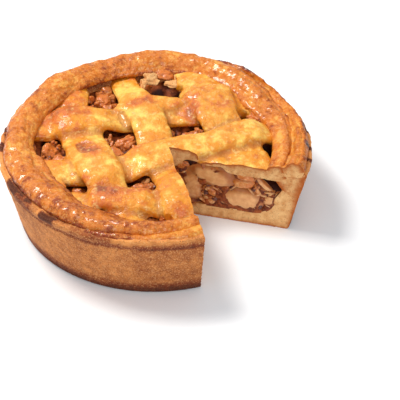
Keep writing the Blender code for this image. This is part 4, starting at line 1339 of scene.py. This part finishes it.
for k, (x, y, length, width, rise, turn) in enumerate(OPENING_FRUIT):
    centre = Vector((x * TOP_RADIUS / 10, y * TOP_RADIUS / 10, FILLING_HEIGHT + rise / 1000 - CHUNK_RISE))
    axes = laid(math.radians(turn), math.radians(draw.uniform(-25, 25)))
    chunks.append(lump("chunk", centre, (length / 1000, width / 1000, CHUNK_RISE), axes, 81 + k,
                       draw.uniform(0.40, 0.80), 0.8, ball_detail(length)))
while len(bits) < BIT_COUNT + 2 * SHRED_COUNT:
    turn, reach = draw.uniform(0, math.tau), SHELF_RADIUS * math.sqrt(draw.uniform(0, 1))
    spot = Vector((reach * math.cos(turn), reach * math.sin(turn), WELL_UNDER))
    in_opening = strip_tree.ray_cast(spot, Vector((0, 0, 1)))[0] is None
    open_deep = spots(np.array([spot]), TOP_HOLLOWS)[0] < -2.5
    if in_opening and not open_deep and depth_in_pie(np.array([spot]))[0] > 0.003:
        spot.z = FILLING_HEIGHT + draw.uniform(-0.0012, 0.0030)
        axes = laid(draw.uniform(0, math.tau), draw.uniform(-0.6, 0.6))
        bits.append(lump("bit", spot, draw.uniform(0.0014, 0.0040, 3), axes, 200 + len(bits),
                         draw.uniform(0.2, 0.95), 0.9, 4))

# %% [markdown]
# ### Torn crumb
#
# Behind the back opening the strips tore as they rose, and flakes of pale crumb stand in
# the tear. A flake is a lump that is flat and very uneven. It wears the crumb finish, which
# reads `skin` and not `cooked`, so that number is renamed.

# %% Torn crumb, and join what is alike
# x, y in tenths of TOP_RADIUS, height, half sizes in millimetres, turn and lean in degrees.
TORN = [(-0.45, 7.3, 55.0, (6.0, 4.0, 1.4), 20, 35), (1.15, 7.0, 53.5, (6.0, 3.0, 1.3), -15, 40),
        (1.65, 7.2, 56.0, (4.0, 5.0, 1.4), 10, 30), (-1.0, 6.5, 56.0, (3.2, 5.5, 1.3), -30, 25),
        (-2.35, 7.0, 57.0, (6.0, 3.6, 1.4), 8, 30)]
TORN_SKIN = 0.28
TORN_ROUGH = 1.7
torn = []
for k, (x, y, level, sizes, turn, lean) in enumerate(TORN):
    spot = Vector((x * TOP_RADIUS / 10, y * TOP_RADIUS / 10, level / 1000))
    axes = laid(math.radians(turn), math.radians(lean))
    flake = lump("torn", spot, np.array(sizes) / 1000, axes, 500 + k, TORN_SKIN, TORN_ROUGH, 4)
    flake.data.attributes["cooked"].name = "skin"
    torn.append(flake)
torn_crumb = joined("torn_crumb", torn, crumb)
fruit_chunks = joined("fruit_chunks", chunks, fruit)
fruit_bits = joined("fruit_bits", bits, fruit)
raisin_pieces = joined("raisins", raisins, raisin)
print("faces:", [len(piece.data.polygons) for piece in (fruit_chunks, fruit_bits, raisin_pieces)])

# %% [markdown]
# ## Dress the frame
#
# Each piece rides on the one body of the pie and stands for the solids that it was shaped
# from. The knives have done their work and are removed.

# %% Ride and replace
for tool in (crumb_knife, spoon):
    bpy.data.objects.remove(tool)
pie_crust.data.materials[0] = crust.material
for piece, nodes, slot in ((pie_crust, ["pastry_case"], "crust"), (lattice, LATTICE_NODES, "lattice"),
                           (rim_pieces["glazed_roll"], ["rim_roll_left"], "rim"),
                           (rim_pieces["side_roll"], ["rim_roll_right"], "rim"),
                           (rim_pieces["front_fold"], ["rim_fold_front"], "rim_dough"),
                           (syrup_core, ["pie_filling"], "filling"),
                           (fruit_chunks, ["pie_filling"], "filling"),
                           (fruit_bits, ["pie_filling"], "filling"),
                           (raisin_pieces, ["pie_filling"], "filling"),
                           (torn_crumb, LATTICE_NODES, "lattice")):
    shade(piece)
    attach(piece, "root")
    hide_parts(*nodes)

# %% [markdown]
# ## Floor, light and camera
#
# The pie stands on a plain pale sheet. One large soft light comes from the upper left and
# a little from behind, which puts the shine on the near side of each strip and the shadow
# to the right. A weak one fills the front.

# %% Floor
bpy.ops.mesh.primitive_plane_add(size=6)
floor = bpy.context.object
floor.name = "floor"
paper = Finish("pale paper", Roughness=0.9)
paper_tooth = paper.noise(0.004)
paper.feed(Base_Color=paper.blend(paper_tooth, (0.90, 0.90, 0.90, 1), (0.92, 0.92, 0.92, 1)))
floor.data.materials.append(paper.material)

# %% Light
AIM = Vector((0.0, 0.0, 0.03))


def soft_light(name, place, size, power, colour):
    """A square light that looks at the pie."""
    lamp = bpy.data.lights.new(name, "AREA")
    lamp.size = size
    lamp.energy = power
    lamp.color = colour
    holder = bpy.data.objects.new(name, lamp)
    holder.location = place
    holder.rotation_euler = (Vector(place) - AIM).to_track_quat("Z", "Y").to_euler()
    bpy.context.scene.collection.objects.link(holder)


soft_light("key_light", (-0.55, 0.30, 1.10), 0.45, 14.5, (1.0, 0.975, 0.94))
soft_light("fill_light", (0.25, -1.10, 0.80), 0.8, 5.0, (1.0, 1.0, 1.0))
world = bpy.data.worlds.new("studio")
world.use_nodes = True
world.node_tree.nodes["Background"].inputs["Color"].default_value = (0.93, 0.98, 1.04, 1)
world.node_tree.nodes["Background"].inputs["Strength"].default_value = 0.60
bpy.context.scene.world = world

# %% Camera
CAMERA_TARGET = Vector((0.03465, -0.02195, 0.018))
CAMERA_ELEVATION = 0.6848
CAMERA_DISTANCE = 1.2
FOCAL_LENGTH = 139.86
SENSOR_WIDTH = 36
lens = bpy.data.cameras.new("camera")
lens.lens = FOCAL_LENGTH
lens.sensor_width = SENSOR_WIDTH
camera = bpy.data.objects.new("camera", lens)
towards_camera = Vector((0, -math.cos(CAMERA_ELEVATION), math.sin(CAMERA_ELEVATION)))
camera.location = CAMERA_TARGET + towards_camera * CAMERA_DISTANCE
camera.rotation_euler = (math.pi / 2 - CAMERA_ELEVATION, 0, 0)
bpy.context.scene.collection.objects.link(camera)
bpy.context.scene.camera = camera

# %% Update the scene
bpy.context.view_layer.update()
